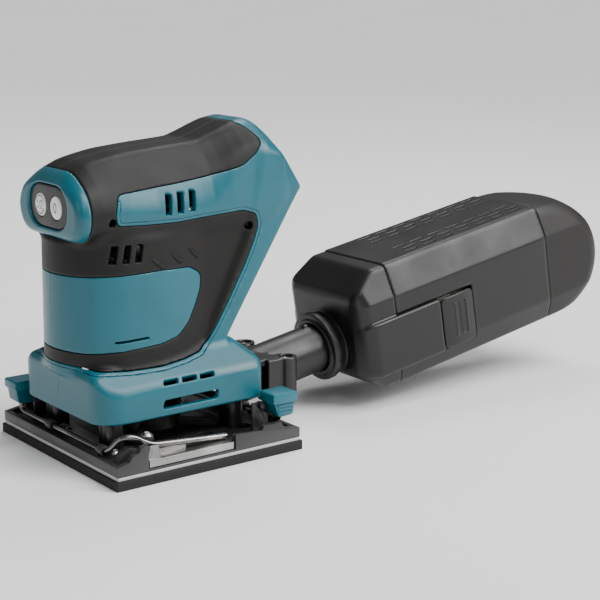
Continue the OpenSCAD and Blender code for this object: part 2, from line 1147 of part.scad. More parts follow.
module clamp_screws() {
  color([0.75, 0.75, 0.76])
    for (a = [0, 180])
      rotate([0, 0, a]) {
        for (y = [-34.3, 14])
          translate([-lever_x + 6.1, y, z_floor + 1.25])
            screw_dome();
        translate([-27, -42, 18.22])
          screw_dome();
      }
}

module screw_dome() {
  difference() {
    intersection() {
      translate([0, 0, -1.2])
        sphere(r = 3);
      cylinder(r = 3, h = 3);
    }
    translate([0, 0, 0.9])
      cylinder(r = 1.1, h = 3, $fn = 6);
  }
}

// sheet hooks that hold a closed lever by its riser
module lever_catches() {
  color([0.16, 0.16, 0.16])
    for (a = [0, 180])
      rotate([0, 0, a]) {
        translate([-40.5, 40.6, z_floor + e])
          cube([9, 6, 1.2]);
        translate([-40.5, 40.6, z_floor + e])
          cube([9, 1.4, 13.5]);
        rod_y(40.6, 45, -36, 21.4, 1.6);
      }
}

// ---- dust nozzle and box ---------------------------------------------------

module dust_nozzle() {
  color([0.08, 0.078, 0.075])
    difference() {
      union() {
        box_frame()
          rod_x(-46, 16, 0, 0, tube_r);
        front_slab(skirt_x1 + 0.05, 62)
          round_rect(-16, 16, 16.4, 35.3, 3);
        // flange against the rear of the skirt and tongue in its outlet
        front_slab(skirt_x1 + 0.05, skirt_x1 + 2.6)
          round_rect(-25, 25, 22, 38, 4);
        // flat bridge between the two screw ears
        translate([50, -18, 31.8])
          cube([14, 36, 3.5]);
        translate([skirt_x1 - 3.4, -11.9, 25])
          cube([4, 23.8, 10.9]);
        // two towers with screw ears
        for (s = [-1, 1]) {
          translate([68.8, s * 18, 12.5])
            cylinder(r = 5.6, h = 22.8);
          translate([56, s * 16.4 - 5, 13.5])
            cube([13, 10, 21.8]);
        }
      }
      box_frame()
        rod_x(-50, 30, 0, 0, tube_r - 2.2);
      translate([skirt_x1 - 5, -10.4, 26.5])
        cube([20, 20.8, 8]);
      for (s = [-1, 1]) {
        translate([68.8, s * 18, 31.5])
          cylinder(r = 3.6, h = 5);
        translate([68.8, s * 18, 11])
          cylinder(r = 1.9, h = 30);
      }
      // seal groove
      box_frame()
        difference() {
          rod_x(6, 8, 0, 0, tube_r + 1);
          rod_x(5, 9, 0, 0, tube_r - 1);
        }
    }
}

module nozzle_screws() {
  color([0.2, 0.2, 0.2])
    for (s = [-1, 1])
      translate([68.8, s * 18, 0])
        difference() {
          union() {
            translate([0, 0, 31.52])
              cylinder(r = 3.4, h = 2.4);
            translate([0, 0, 14])
              cylinder(r = 1.85, h = 18);
          }
          translate([0, 0, 32.6])
            cylinder(r = 1.6, h = 3, $fn = 6);
        }
}

module nozzle_seal() {
  color([0.05, 0.05, 0.05])
    box_frame()
      difference() {
        rod_x(6.1, 7.9, 0, 0, tube_r + 0.2);
        rod_x(5, 9, 0, 0, tube_r - 0.96);
      }
}

box_sec = [[-27, -25], [27, -25], [box_y, -13], [box_y, 23], [25, 40], [-25, 40], [-box_y, 23], [-box_y, -13]];
front_side_pts = [[12.5, -13.5], [27, -25], [seam_f, -25], [seam_f, 40], [30, 40], [15, 29.6], [12.5, 25.5]];
front_plan_pts = [[12.5, -24], [18, -box_y], [seam_f, -box_y], [seam_f, box_y], [18, box_y], [12.5, 24]];

module box_prism(x0, x1, i) {
  front_slab(x0, x1)
    polygon(inset(box_sec, i));
}

module front_shape(i) {
  intersection() {
    box_prism(0, seam_f + (i > 0 ? 5 : 0), i);
    side_slab(60, inset([for (p = front_side_pts) p.x > 37 ? [p.x + (i > 0 ? 9 : 0), p.y] : p], i));
    translate([0, 0, -60])
      linear_extrude(height = 130)
        polygon(inset([for (p = front_plan_pts) p.x > 37 ? [p.x + (i > 0 ? 9 : 0), p.y] : p], i));
  }
}

module arm_cut(g) {
  for (s = [-1, 1])
    translate([seam_f - 1, s * box_y - 1.4 - g, -15.5 - g])
      cube([30 + g, 2.8 + 2 * g, 28.5 + 2 * g]);
}

module box_front() {
  color([0.085, 0.08, 0.076])
    box_frame() {
      difference() {
        union() {
          difference() {
            front_shape(0);
            front_shape(box_wall);
          }
          rod_x(4, 24, 0, 0, 15.4);
          rod_x(5, 9.6, 0, 0, 18.2);
          rod_x(9.5, 14, 0, 0, 16.8);
          // side arms that reach back to the latches
          intersection() {
            box_prism(seam_f - 1, 66, 0);
            arm_cut(0);
          }
        }
        rod_x(-10, 30, 0, 0, tube_r + 0.35);
      }
    }
}

module latch_pocket(g) {
  for (s = [-1, 1])
    translate([66.6 - g, s * box_y - 3.4, -16 - g])
      cube([24 + 2 * g, 6.8, 29 + 2 * g]);
}

module box_body() {
  color([0.085, 0.08, 0.076])
    box_frame()
      difference() {
        union() {
          difference() {
            box_prism(seam_f + 0.3, seam_r, 0);
            box_prism(seam_f - 1, seam_r + 1, box_wall);
          }
          // ledges that carry the filter frame
          intersection() {
            box_prism(44, 146, 1);
            for (s = [-1, 1])
              translate([44, s * 27.3 - 2.8, 24.4])
                cube([100, 5.6, 1.55]);
          }
        }
        arm_cut(0.35);
        latch_pocket(0);
        // rows of outlet slots through the top
        for (k = [0 : 6])
          for (y = [-19, -14, -9, 9, 14, 19])
            translate([58 + 12.5 * k, y - 0.8, 35])
              cube([9, 1.6, 10]);
      }
}

module cap_shape(i, x0) {
  intersection() {
    box_prism(x0, 200, i);
    rod_y(-60, 60, 155, -2, 42 - i);
    translate([136, 0, -60])
      cylinder(r = 61 - i, h = 120);
  }
}

module box_cap() {
  color([0.09, 0.085, 0.08])
    box_frame()
      difference() {
        cap_shape(0, seam_r + 0.05);
        cap_shape(box_wall, seam_r - 1);
      }
}

module latch(s) {
  box_frame() {
    translate([67, s * (box_y - 0.9) - 0.9, -15.6])
      cube([23.2, 1.8, 28.2]);
    for (k = [0 : 2])
      translate([75 + 4.5 * k, s * (box_y + 0.3) - 0.5, -11])
        cube([1.4, 1, 20]);
    translate([72, s * (box_y - 3.4) - 1.7, -6])
      cube([12, 3.4, 10]);
  }
}

module latch_left() {
  color([0.1, 0.095, 0.09])
    latch(-1);
}

module latch_right() {
  color([0.1, 0.095, 0.09])
    latch(1);
}

module filter_frame() {
  color([0.14, 0.14, 0.14])
    box_frame()
      difference() {
        translate([44, -25.8, 26])
          cube([100, 51.6, 3.9]);
        translate([48, -20, 20])
          cube([92, 40, 20]);
      }
}

module filter_element() {
  color([0.86, 0.84, 0.78])
    box_frame()
      translate([48.1, 0, 0])
        rotate([90, 0, 90])
          linear_extrude(height = 91.8)
            polygon(concat(
              [for (k = [0 : 16]) [-19.9 + 39.8 * k / 16, k % 2 == 0 ? 6 : 29.4]],
              [for (k = [16 : -1 : 0]) [-19.9 + 39.8 * k / 16, k % 2 == 0 ? 7.4 : 30.8]]
            ));
}

housing_left();
housing_right();
grip_left();
grip_right();
switch_bezel();
switch_boot();
button_speed();
button_off();
switch_board();
controller_board();
housing_screws();
battery_terminal();
terminal_blades();
motor_can();
motor_magnets();
motor_end_bell();
motor_brushes();
rotor_core();
rotor_windings();
commutator();
motor_shaft();
upper_bearing_outer();
upper_bearing_inner();
lower_bearing_outer();
lower_bearing_inner();
fan();
eccentric();
pad_bearing_outer();
pad_bearing_inner();
base_plate();
pad_layer();
pad_cushion();
foot_posts();
clamp_plate_left();
clamp_plate_right();
clamp_pins();
lever_left();
lever_right();
lever_knob_left();
lever_knob_right();
lever_clips();
clamp_screws();
lever_catches();
dust_nozzle();
nozzle_screws();
nozzle_seal();
box_front();
box_body();
box_cap();
latch_left();
latch_right();
filter_frame();
filter_element();
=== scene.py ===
"""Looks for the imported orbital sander: smooth housing, dust box and nozzle, bevelled metal parts, materials."""

import math
import json

import bmesh
import bpy
import numpy as np
from mathutils import Matrix, Vector

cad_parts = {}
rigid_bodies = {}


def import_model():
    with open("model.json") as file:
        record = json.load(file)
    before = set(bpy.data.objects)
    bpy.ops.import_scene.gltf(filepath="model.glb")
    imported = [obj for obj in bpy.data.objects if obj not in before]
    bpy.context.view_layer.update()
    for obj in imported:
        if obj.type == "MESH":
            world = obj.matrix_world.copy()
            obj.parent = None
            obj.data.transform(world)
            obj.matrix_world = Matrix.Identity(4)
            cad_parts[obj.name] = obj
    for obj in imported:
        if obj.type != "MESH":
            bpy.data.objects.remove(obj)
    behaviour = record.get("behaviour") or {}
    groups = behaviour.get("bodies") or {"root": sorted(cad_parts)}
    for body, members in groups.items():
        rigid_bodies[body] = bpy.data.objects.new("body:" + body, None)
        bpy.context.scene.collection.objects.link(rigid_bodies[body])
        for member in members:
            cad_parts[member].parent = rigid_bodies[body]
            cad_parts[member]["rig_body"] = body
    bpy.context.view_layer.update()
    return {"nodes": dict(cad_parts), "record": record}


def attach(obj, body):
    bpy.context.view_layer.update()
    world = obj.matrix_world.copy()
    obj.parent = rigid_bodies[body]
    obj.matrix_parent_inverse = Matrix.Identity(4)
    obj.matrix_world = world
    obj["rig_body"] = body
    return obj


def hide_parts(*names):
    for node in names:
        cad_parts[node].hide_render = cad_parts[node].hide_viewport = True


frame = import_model()
MM = 0.001

# millimetres
SKIRT_BOTTOM = 24.6
SWITCH_Z = 120.0
BUTTON_Y = 7.2
BOX_WALL = 2.2
TUBE_X, TUBE_Z = 96, 30
scene = bpy.context.scene

# ---------------------------------------------------------------- camera
camera_data = bpy.data.cameras.new("camera")
camera = bpy.data.objects.new("camera", camera_data)
scene.collection.objects.link(camera)
azimuth, elevation = math.radians(-37.06), math.radians(12.75)
back = Vector((math.sin(azimuth) * math.cos(elevation), -math.cos(azimuth) * math.cos(elevation),
               math.sin(elevation)))
right = Vector((math.cos(azimuth), math.sin(azimuth), 0))
up = back.cross(right)
pose = Matrix((right, up, back)).transposed().to_4x4()
pose.translation = back * 0.7409 + right * 0.07302 + up * 0.06809
camera.matrix_world = pose
camera_data.sensor_width = 36
camera_data.lens = 91.34
camera_data.clip_start = 0.01
scene.camera = camera

# ---------------------------------------------------------------- materials
def new_material(name, base, rough, metallic=0.0, specular=0.5, coat=0.0, coat_rough=0.1, sheen=0.0):
    m = bpy.data.materials.new(name)
    m.use_nodes = True
    nodes, links = m.node_tree.nodes, m.node_tree.links
    shader = nodes["Principled BSDF"]
    shader.inputs["Base Color"].default_value = (*base, 1)
    shader.inputs["Roughness"].default_value = rough
    shader.inputs["Metallic"].default_value = metallic
    shader.inputs["Specular IOR Level"].default_value = specular
    shader.inputs["Coat Weight"].default_value = coat
    shader.inputs["Coat Roughness"].default_value = coat_rough
    shader.inputs["Sheen Weight"].default_value = sheen
    return m, nodes, links, shader


def position(nodes, links, scale=(1, 1, 1)):
    coord = nodes.new("ShaderNodeTexCoord")
    mapping = nodes.new("ShaderNodeMapping")
    mapping.inputs["Scale"].default_value = scale
    links.new(coord.outputs["Object"], mapping.inputs["Vector"])
    return mapping.outputs["Vector"]


def noise(nodes, links, vector, scale, detail=3.0, rough=0.55):
    n = nodes.new("ShaderNodeTexNoise")
    n.inputs["Scale"].default_value = scale
    n.inputs["Detail"].default_value = detail
    n.inputs["Roughness"].default_value = rough
    links.new(vector, n.inputs["Vector"])
    return n.outputs["Fac"]


def ramp(nodes, links, value, stops):
    r = nodes.new("ShaderNodeValToRGB")
    while len(r.color_ramp.elements) < len(stops):
        r.color_ramp.elements.new(0.5)
    for e, (pos, col) in zip(r.color_ramp.elements, stops):
        e.position = pos
        e.color = (*col, 1)
    links.new(value, r.inputs["Fac"])
    return r.outputs["Color"]


def remap(nodes, links, value, lo, hi, out_lo, out_hi):
    m = nodes.new("ShaderNodeMapRange")
    m.inputs["From Min"].default_value = lo
    m.inputs["From Max"].default_value = hi
    m.inputs["To Min"].default_value = out_lo
    m.inputs["To Max"].default_value = out_hi
    links.new(value, m.inputs["Value"])
    return m.outputs["Result"]


def bump(nodes, links, shader, height, strength, distance):
    b = nodes.new("ShaderNodeBump")
    b.inputs["Strength"].default_value = strength
    b.inputs["Distance"].default_value = distance
    links.new(height, b.inputs["Height"])
    links.new(b.outputs["Normal"], shader.inputs["Normal"])


def mix_color(nodes, links, fac, a, b):
    m = nodes.new("ShaderNodeMix")
    m.data_type = "RGBA"
    links.new(fac, m.inputs["Factor"])
    for socket, v in ((m.inputs["A"], a), (m.inputs["B"], b)):
        if isinstance(v, tuple):
            socket.default_value = (*v, 1)
        else:
            links.new(v, socket)
    return m.outputs["Result"]


def edge_wear_and_highlight(nodes, links, colour, tint, amount, lo, hi):
    """Colour with a tint on the sharp edges, from pointiness lo to hi: a painted edge highlight together with rubbing
    wear.
    """
    g = nodes.new("ShaderNodeNewGeometry")
    wear_and_highlight = remap(nodes, links, g.outputs["Pointiness"], lo, hi, 0.0, 1.0)
    scale = nodes.new("ShaderNodeMath")
    scale.operation = "MULTIPLY"
    scale.inputs[1].default_value = amount
    links.new(wear_and_highlight, scale.inputs[0])
    return mix_color(nodes, links, scale.outputs[0], colour, tint)


def plastic(name, base, light, dark, rough, grain=4500, depth=0.00001, mottle=90, edge=0.35, specular=0.5, coat=0.0,
            rough_spread=0.1, strength=0.5, coat_rough=0.15):
    """Moulded plastic: fine grain, slow colour drift, lighter edges (painted highlight and rubbing wear)."""
    m, nodes, links, shader = new_material(name, base, rough, specular=specular, coat=coat, coat_rough=coat_rough)
    v = position(nodes, links)
    slow = noise(nodes, links, v, mottle, 4.0)
    colour = ramp(nodes, links, slow, [(0.3, dark), (0.52, base), (0.75, light)])
    # lighter tint on the sharp edges: painted edge highlight, together with rubbing wear
    wear_and_highlight_tint = tuple(min(1.0, c * 1.5 + 0.035) for c in base)
    colour = edge_wear_and_highlight(nodes, links, colour, wear_and_highlight_tint, edge, 0.505, 0.56)
    links.new(colour, shader.inputs["Base Color"])
    fine = noise(nodes, links, v, grain, 2.0, 0.6)
    links.new(remap(nodes, links, slow, 0.25, 0.75, rough - rough_spread, rough + rough_spread),
              shader.inputs["Roughness"])
    bump(nodes, links, shader, fine, strength, depth)
    return m


def metal(name, base, light, rough, stretch=(1, 1, 1), grain=900, edge=0.5, depth=0.000008, dirt=None, strength=0.4):
    """Metal: drawn or ground lines, slightly uneven polish, bright edges (painted highlight and wear)."""
    m, nodes, links, shader = new_material(name, base, rough, metallic=1.0)
    v = position(nodes, links, stretch)
    lines = noise(nodes, links, v, grain, 4.0, 0.65)
    wide = noise(nodes, links, position(nodes, links), 60, 3.0)
    colour = ramp(nodes, links, wide, [(0.3, dirt or tuple(c * 0.7 for c in base)), (0.55, base), (0.8, light)])
    # light colour on the sharp edges: painted edge highlight, together with wear
    colour = edge_wear_and_highlight(nodes, links, colour, light, edge, 0.51, 0.6)
    links.new(colour, shader.inputs["Base Color"])
    links.new(remap(nodes, links, lines, 0.3, 0.7, max(rough - 0.08, 0.04), rough + 0.12), shader.inputs["Roughness"])
    bump(nodes, links, shader, lines, strength, depth)
    return m


TEAL = (0.0004, 0.108, 0.147)
M = {}
M["shell_teal"] = plastic("shell_teal", TEAL, (0.0004, 0.108, 0.148), (0.0002, 0.09, 0.124), 0.36, grain=5200,
                          depth=0.000012,
                          mottle=40, edge=0.22, specular=0.45, coat=0.15, rough_spread=0.05, strength=0.5,
                              coat_rough=0.28)
M["soft_grip"] = plastic("soft_grip", (0.0062, 0.0054, 0.0048), (0.0085, 0.0073, 0.0064), (0.0045, 0.004, 0.0035),
                         0.5, grain=6500,
                         depth=0.00002, mottle=55, edge=0.25, specular=0.3, rough_spread=0.07, strength=0.75)
M["black_plastic"] = plastic("black_plastic", (0.0036, 0.0033, 0.0031), (0.005, 0.0046, 0.0042),
                             (0.0026, 0.0024, 0.0022), 0.38,
                             grain=4200, depth=0.000012, edge=0.4, specular=0.55, rough_spread=0.07)
M["box_plastic"] = plastic("box_plastic", (0.006, 0.0052, 0.0047), (0.0082, 0.007, 0.0062),
                           (0.0045, 0.004, 0.0036), 0.36,
                           grain=3600, depth=0.00003, mottle=45, edge=0.5, specular=0.45, rough_spread=0.08,
                               strength=0.8)
M["cap_plastic"] = plastic("cap_plastic", (0.0095, 0.0082, 0.0073), (0.0125, 0.0108, 0.0095),
                           (0.0072, 0.0062, 0.0056), 0.5,
                           grain=3000, depth=0.00005, mottle=45, edge=0.4, specular=0.4, rough_spread=0.07,
                               strength=0.95)
M["boot_rubber"] = plastic("boot_rubber", (0.006, 0.0055, 0.0055), (0.008, 0.0075, 0.0075),
                           (0.004, 0.0038, 0.0038), 0.36, grain=5200,
                           depth=0.00001, edge=0.3)
M["button_white"] = plastic("button_white", (0.86, 0.86, 0.84), (0.9, 0.9, 0.88), (0.8, 0.8, 0.78), 0.3, grain=3000,
                            depth=0.000004, edge=0.0, rough_spread=0.05)
M["mark_grey"] = plastic("mark_grey", (0.05, 0.05, 0.05), (0.06, 0.06, 0.06), (0.04, 0.04, 0.04), 0.45, grain=3000,
                         depth=0.000004, edge=0.0)
M["circuit_board"] = plastic("circuit_board", (0.02, 0.12, 0.04), (0.03, 0.16, 0.05), (0.015, 0.09, 0.03), 0.4)
M["base_paint"] = plastic("base_paint", (0.0055, 0.0055, 0.006), (0.009, 0.009, 0.0095), (0.0038, 0.0038, 0.004),
                          0.36, grain=2200,
                          depth=0.00003, edge=0.75, specular=0.6, rough_spread=0.1, strength=0.6)
M["foam"] = plastic("foam", (0.0035, 0.0035, 0.0035), (0.007, 0.007, 0.007), (0.0018, 0.0018, 0.0018), 0.8,
                    grain=1800,
                    depth=0.00012, edge=0.2, rough_spread=0.08, strength=1.0)
M["filter_paper"] = plastic("filter_paper", (0.7, 0.68, 0.6), (0.78, 0.76, 0.68), (0.6, 0.57, 0.5), 0.9, grain=1500,
                            depth=0.00005, edge=0.1)
M["carbon"] = plastic("carbon", (0.02, 0.02, 0.02), (0.03, 0.03, 0.03), (0.015, 0.015, 0.015), 0.5)
M["magnet"] = plastic("magnet", (0.05, 0.05, 0.05), (0.07, 0.07, 0.07), (0.03, 0.03, 0.03), 0.55)
M["steel"] = metal("steel", (0.55, 0.55, 0.56), (0.8, 0.8, 0.8), 0.28, stretch=(1, 1, 6))
M["clamp_steel"] = metal("clamp_steel", (0.30, 0.30, 0.29), (0.6, 0.59, 0.57), 0.36, stretch=(1, 8, 8),
                         dirt=(0.2, 0.19, 0.18))
M["wire_steel"] = metal("wire_steel", (0.13, 0.125, 0.12), (0.5, 0.49, 0.47), 0.2, stretch=(2, 2, 2), grain=500)
M["dark_steel"] = metal("dark_steel", (0.08, 0.08, 0.085), (0.3, 0.3, 0.3), 0.34, grain=500)
M["contact_metal"] = metal("contact_metal", (0.75, 0.6, 0.32), (0.9, 0.8, 0.5), 0.25)
M["laminations"] = metal("laminations", (0.35, 0.35, 0.36), (0.6, 0.6, 0.6), 0.4, stretch=(1, 1, 20))
M["copper"] = metal("copper", (0.65, 0.28, 0.12), (0.85, 0.45, 0.25), 0.3, stretch=(1, 6, 6))


def felt(name, base, light, dark):
    """Light backing layer: short fibres and slow darker stains."""
    m, nodes, links, shader = new_material(name, base, 0.8, sheen=0.3)
    shader.inputs["Sheen Roughness"].default_value = 0.5
    v = position(nodes, links, (1, 1, 4))
    fibre = noise(nodes, links, v, 1600, 5.0, 0.7)
    slow = noise(nodes, links, v, 120, 3.0)
    colour = ramp(nodes, links, fibre, [(0.25, dark), (0.5, base), (0.8, light)])
    stain = remap(nodes, links, slow, 0.35, 0.7, 0.0, 0.35)
    links.new(mix_color(nodes, links, stain, colour, dark), shader.inputs["Base Color"])
    bump(nodes, links, shader, fibre, 0.8, 0.00008)
    return m


M["light_layer"] = felt("light_layer", (0.62, 0.60, 0.57), (0.74, 0.72, 0.69), (0.44, 0.42, 0.39))


# ---------------------------------------------------------------- body shape
# Distances in millimetres, with y folded to its absolute value.


def meet(a, b, r):
    """Intersection of two distance fields with a rounded outer edge."""
    u = np.maximum(a + r, 0)
    v = np.maximum(b + r, 0)
    return np.minimum(np.maximum(a, b), -r) + np.hypot(u, v)


def join(a, b, r):
    """Union of two distance fields with a filleted inner corner."""
    u = np.maximum(r - a, 0)
    v = np.maximum(r - b, 0)
    return np.maximum(np.minimum(a, b), r) - np.hypot(u, v)


def rounded(points, n=6):
    """Outline with filleted corners: each point is (x, z, radius), anticlockwise or clockwise."""
    out = []
    m = len(points)
    for i in range(m):
        p0 = np.array(points[i - 1][:2], float)
        p1 = np.array(points[i][:2], float)
        p2 = np.array(points[(i + 1) % m][:2], float)
        r = points[i][2]
        if r <= 0:
            out.append(p1)
            continue
        a = (p0 - p1) / np.linalg.norm(p0 - p1)
        b = (p2 - p1) / np.linalg.norm(p2 - p1)
        half = math.acos(max(-1, min(1, float(a @ b)))) / 2
        t = r / math.tan(half)
        t = min(t, 0.49 * np.linalg.norm(p0 - p1), 0.49 * np.linalg.norm(p2 - p1))
        s, e = p1 + a * t, p1 + b * t
        for k in range(n + 1):
            u = k / n
            out.append((1 - u) ** 2 * s + 2 * u * (1 - u) * p1 + u * u * e)
    return np.array(out)


def outline_distance(pts, x, z):
    """Signed distance to a closed outline, negative inside."""
    shape = np.broadcast(x, z).shape
    best = np.full(shape, 1e18)
    inside = np.zeros(shape, bool)
    n = len(pts)
    for i in range(n):
        ax, az = pts[i - 1]
        bx, bz = pts[i]
        ex, ez = bx - ax, bz - az
        ll = ex * ex + ez * ez
        if ll < 1e-12:
            continue
        wx, wz = x - ax, z - az
        t = np.clip((wx * ex + wz * ez) / ll, 0, 1)
        dx, dz = wx - t * ex, wz - t * ez
        best = np.minimum(best, dx * dx + dz * dz)
        crosses = (az > z) != (bz > z)
        if abs(ez) > 1e-12:
            inside ^= crosses & (x < ex * (z - az) / ez + ax)
    d = np.sqrt(best)
    return np.where(inside, -d, d)


TOP_X = [-60, -52, -48, -45, -39, -25, -8, 14, 20, 26, 33, 39, 45, 51, 57.5, 60.5, 62, 75]
TOP_Z = [128, 133.2, 135.6, 137, 139.3, 142.3, 144, 145.1, 146, 148, 151, 153, 154.1, 153.6, 149.2, 144.5, 137, 110]
HEAD = rounded([(-51, 104, 6), (20, 104, 3), (50, 100, 3), (62, 118, 8), (62.2, 137, 2.5), (60.4, 145.5, 3),
                (55.5, 151.5, 5), (48.5, 154.8, 5), (40, 153.2, 10), (30, 149.4, 14), (20, 145.9, 16), (0, 144.6, 60),
                (-20, 143, 60), (-38, 139.8, 30), (-48, 135.6, 9), (-51.3, 129, 7)])
COLUMN = rounded([(12, 40, 2), (27.5, 40, 2), (28.6, 53, 3), (72.3, 121.2, 1.6), (61.5, 138, 4), (48, 140, 4),
                  (40, 100, 8), (18, 56, 8)])
WEB = rounded([(-30, 44, 3), (20, 44, 3), (31, 64, 3), (56, 110, 3), (50, 116, 3), (-30, 116, 3)])
SKIRT_SIDE = rounded([(-49, 23, 0), (41, 23, 0), (41, 42.5, 2.2), (31.5, 52.4, 8), (20, 55, 4), (-30, 52, 4),
                      (-46.5, 46.6, 5), (-49, 43.2, 4)])


def lerp(x, xs, ys):
    return np.interp(x, xs, ys)


def box_plan(x, y, x0, x1, half, r0, r1):
    """Plan distance of a rectangle with its own corner radius at each end."""
    cx, hx = (x0 + x1) / 2, (x1 - x0) / 2
    r = np.where(x < cx, r0, r1)
    qx = np.abs(x - cx) - hx + r
    qy = y - half + r
    return np.hypot(np.maximum(qx, 0), np.maximum(qy, 0)) + np.minimum(np.maximum(qx, qy), 0) - r


def head_distance(x, y, z):
    """Handle with the switch end."""
    side = outline_distance(HEAD, x, z)
    crown = 0.0032 * y * y
    top = lerp(x, TOP_X, TOP_Z) - crown - z
    slope = lerp(x, [-51, -35, -10, 20, 36, 46, 60], [0.62, 0.85, 1.2, 1.2, 0.86, 0.66, 0.6])
    ridge_z = lerp(x, TOP_X, TOP_Z) - 1.1
    flank = ((z - ridge_z) + (y - 16.5) * slope) / np.hypot(1, slope)
    half = lerp(x, [-52, -46, -30, 0, 30, 46, 62], [29.6, 30.3, 30.6, 30.4, 30.2, 29.0, 27.6])
    wall = y - half
    rr = lerp(x, [-50, -30, 10, 40, 60], [7, 8, 8, 5, 2.5])
    flank_wall = meet(flank, wall, rr)
    bottom = 104.2 - z
    rb = 13.5
    under = meet(flank_wall, bottom, rb)
    front_round = meet(side, under, lerp(x, [-51, -46, -30], [4.5, 4.0, 2.6]))
    return meet(front_round, flank, 1.8)


def housing_distance(x, y, z):
    """Whole housing behind the switch bezel."""
    head = meet(head_distance(x, y, z), -44.9 - x, 0.6)
    # slanted rear column
    column = meet(outline_distance(COLUMN, x, z), y - lerp(z, [40, 60, 110, 125], [27.4, 27, 27, 27.6]), 2.2)
    # upright barrel
    radius = 34.4 - (z - 56) * 0.012
    barrel = meet(np.hypot(x + 16.5, y) - radius, y - 31, 9)
    barrel = meet(barrel, np.maximum(42 - z, z - 106), 2)
    web = meet(outline_distance(WEB, x, z), y - 24.6, 3)
    # skirt
    plan = box_plan(x, y, -49.2 + 0.00035 * y * y, 41, 39.6, 13, 5)
    shoulder = ((z - 39.6 - lerp(x, [-49, -14, 37], [-1.5, 0.2, 0.6])) + (y - 39.5) * 0.86) / np.hypot(1, 0.86)
    skirt = meet(meet(plan, shoulder, 2.6), outline_distance(SKIRT_SIDE, x, z), 2.4)
    f = join(barrel, web, 10)
    f = join(f, column, 3)
    f = join(f, head, 5)
    f = join(f, skirt, 2.2)
    return f


def field_slope(field, p, h):
    """Slope of a field that takes an array of points."""
    g = np.empty_like(p)
    for k in range(3):
        d = np.zeros(3)
        d[k] = h
        g[:, k] = (field(p + d) - field(p - d)) / (2 * h)
    return g


def gradient(f, p, h=0.02):
    """Slope of a distance function that takes x, y and z."""
    return field_slope(lambda q: f(q[:, 0], q[:, 1], q[:, 2]), p, h)


def surface_net(f, lo, hi, step):
    """Even quad mesh on the zero surface of f."""
    axes = [np.arange(a, b + step, step) for a, b in zip(lo, hi)]
    gx, gy, gz = np.meshgrid(*axes, indexing="ij", sparse=True)
    v = np.broadcast_to(f(gx, gy, gz), [len(a) for a in axes]).astype(np.float32)
    neg = v < 0
    shape = v.shape
    cells = tuple(s - 1 for s in shape)
    total = np.zeros(cells + (3,), np.float32)
    count = np.zeros(cells, np.int16)
    edges = []
    for ax in range(3):
        lo_s = [slice(None)] * 3
        hi_s = [slice(None)] * 3
        lo_s[ax], hi_s[ax] = slice(0, -1), slice(1, None)
        a, b = v[tuple(lo_s)], v[tuple(hi_s)]
        cross = neg[tuple(lo_s)] != neg[tuple(hi_s)]
        ijk = np.argwhere(cross)
        t = a[cross] / (a[cross] - b[cross])
        pos = ijk.astype(np.float32)
        pos[:, ax] += t
        others = [k for k in range(3) if k != ax]
        for da in (0, 1):
            for db in (0, 1):
                c = ijk.copy()
                c[:, others[0]] -= da
                c[:, others[1]] -= db
                ok = np.all((c >= 0) & (c < np.array(cells)), axis=1)
                cc = c[ok]
                np.add.at(total, (cc[:, 0], cc[:, 1], cc[:, 2]), pos[ok])
                np.add.at(count, (cc[:, 0], cc[:, 1], cc[:, 2]), 1)
        edges.append((ax, ijk, neg[tuple(lo_s)][cross]))
    used = count > 0
    index = np.full(cells, -1, np.int64)
    index[used] = np.arange(used.sum())
    pts = total[used] / count[used][:, None]
    pts = pts * step + np.array(lo, np.float32)
    quads = []
    for ax, ijk, first in edges:
        o1, o2 = [(1, 2), (2, 0), (0, 1)][ax]
        inner = (ijk[:, o1] > 0) & (ijk[:, o2] > 0) & (ijk[:, o1] < cells[o1]) & (ijk[:, o2] < cells[o2])
        q = []
        for d1, d2 in ((1, 1), (0, 1), (0, 0), (1, 0)):
            c = ijk[inner].copy()
            c[:, o1] -= d1
            c[:, o2] -= d2
            q.append(index[c[:, 0], c[:, 1], c[:, 2]])
        q = np.stack(q, 1)
        flip = ~first[inner]
        q[flip] = q[flip][:, ::-1]
        quads.append(q)
    quads = np.concatenate(quads)
    quads = quads[(quads >= 0).all(axis=1)]
    pts = pts.astype(float)
    for _ in range(3):
        g = gradient(f, pts)
        d = f(pts[:, 0], pts[:, 1], pts[:, 2])
        n2 = (g * g).sum(1)
        pts -= np.clip(d / np.maximum(n2, 0.05), -step * 0.6, step * 0.6)[:, None] * g
    return pts, quads


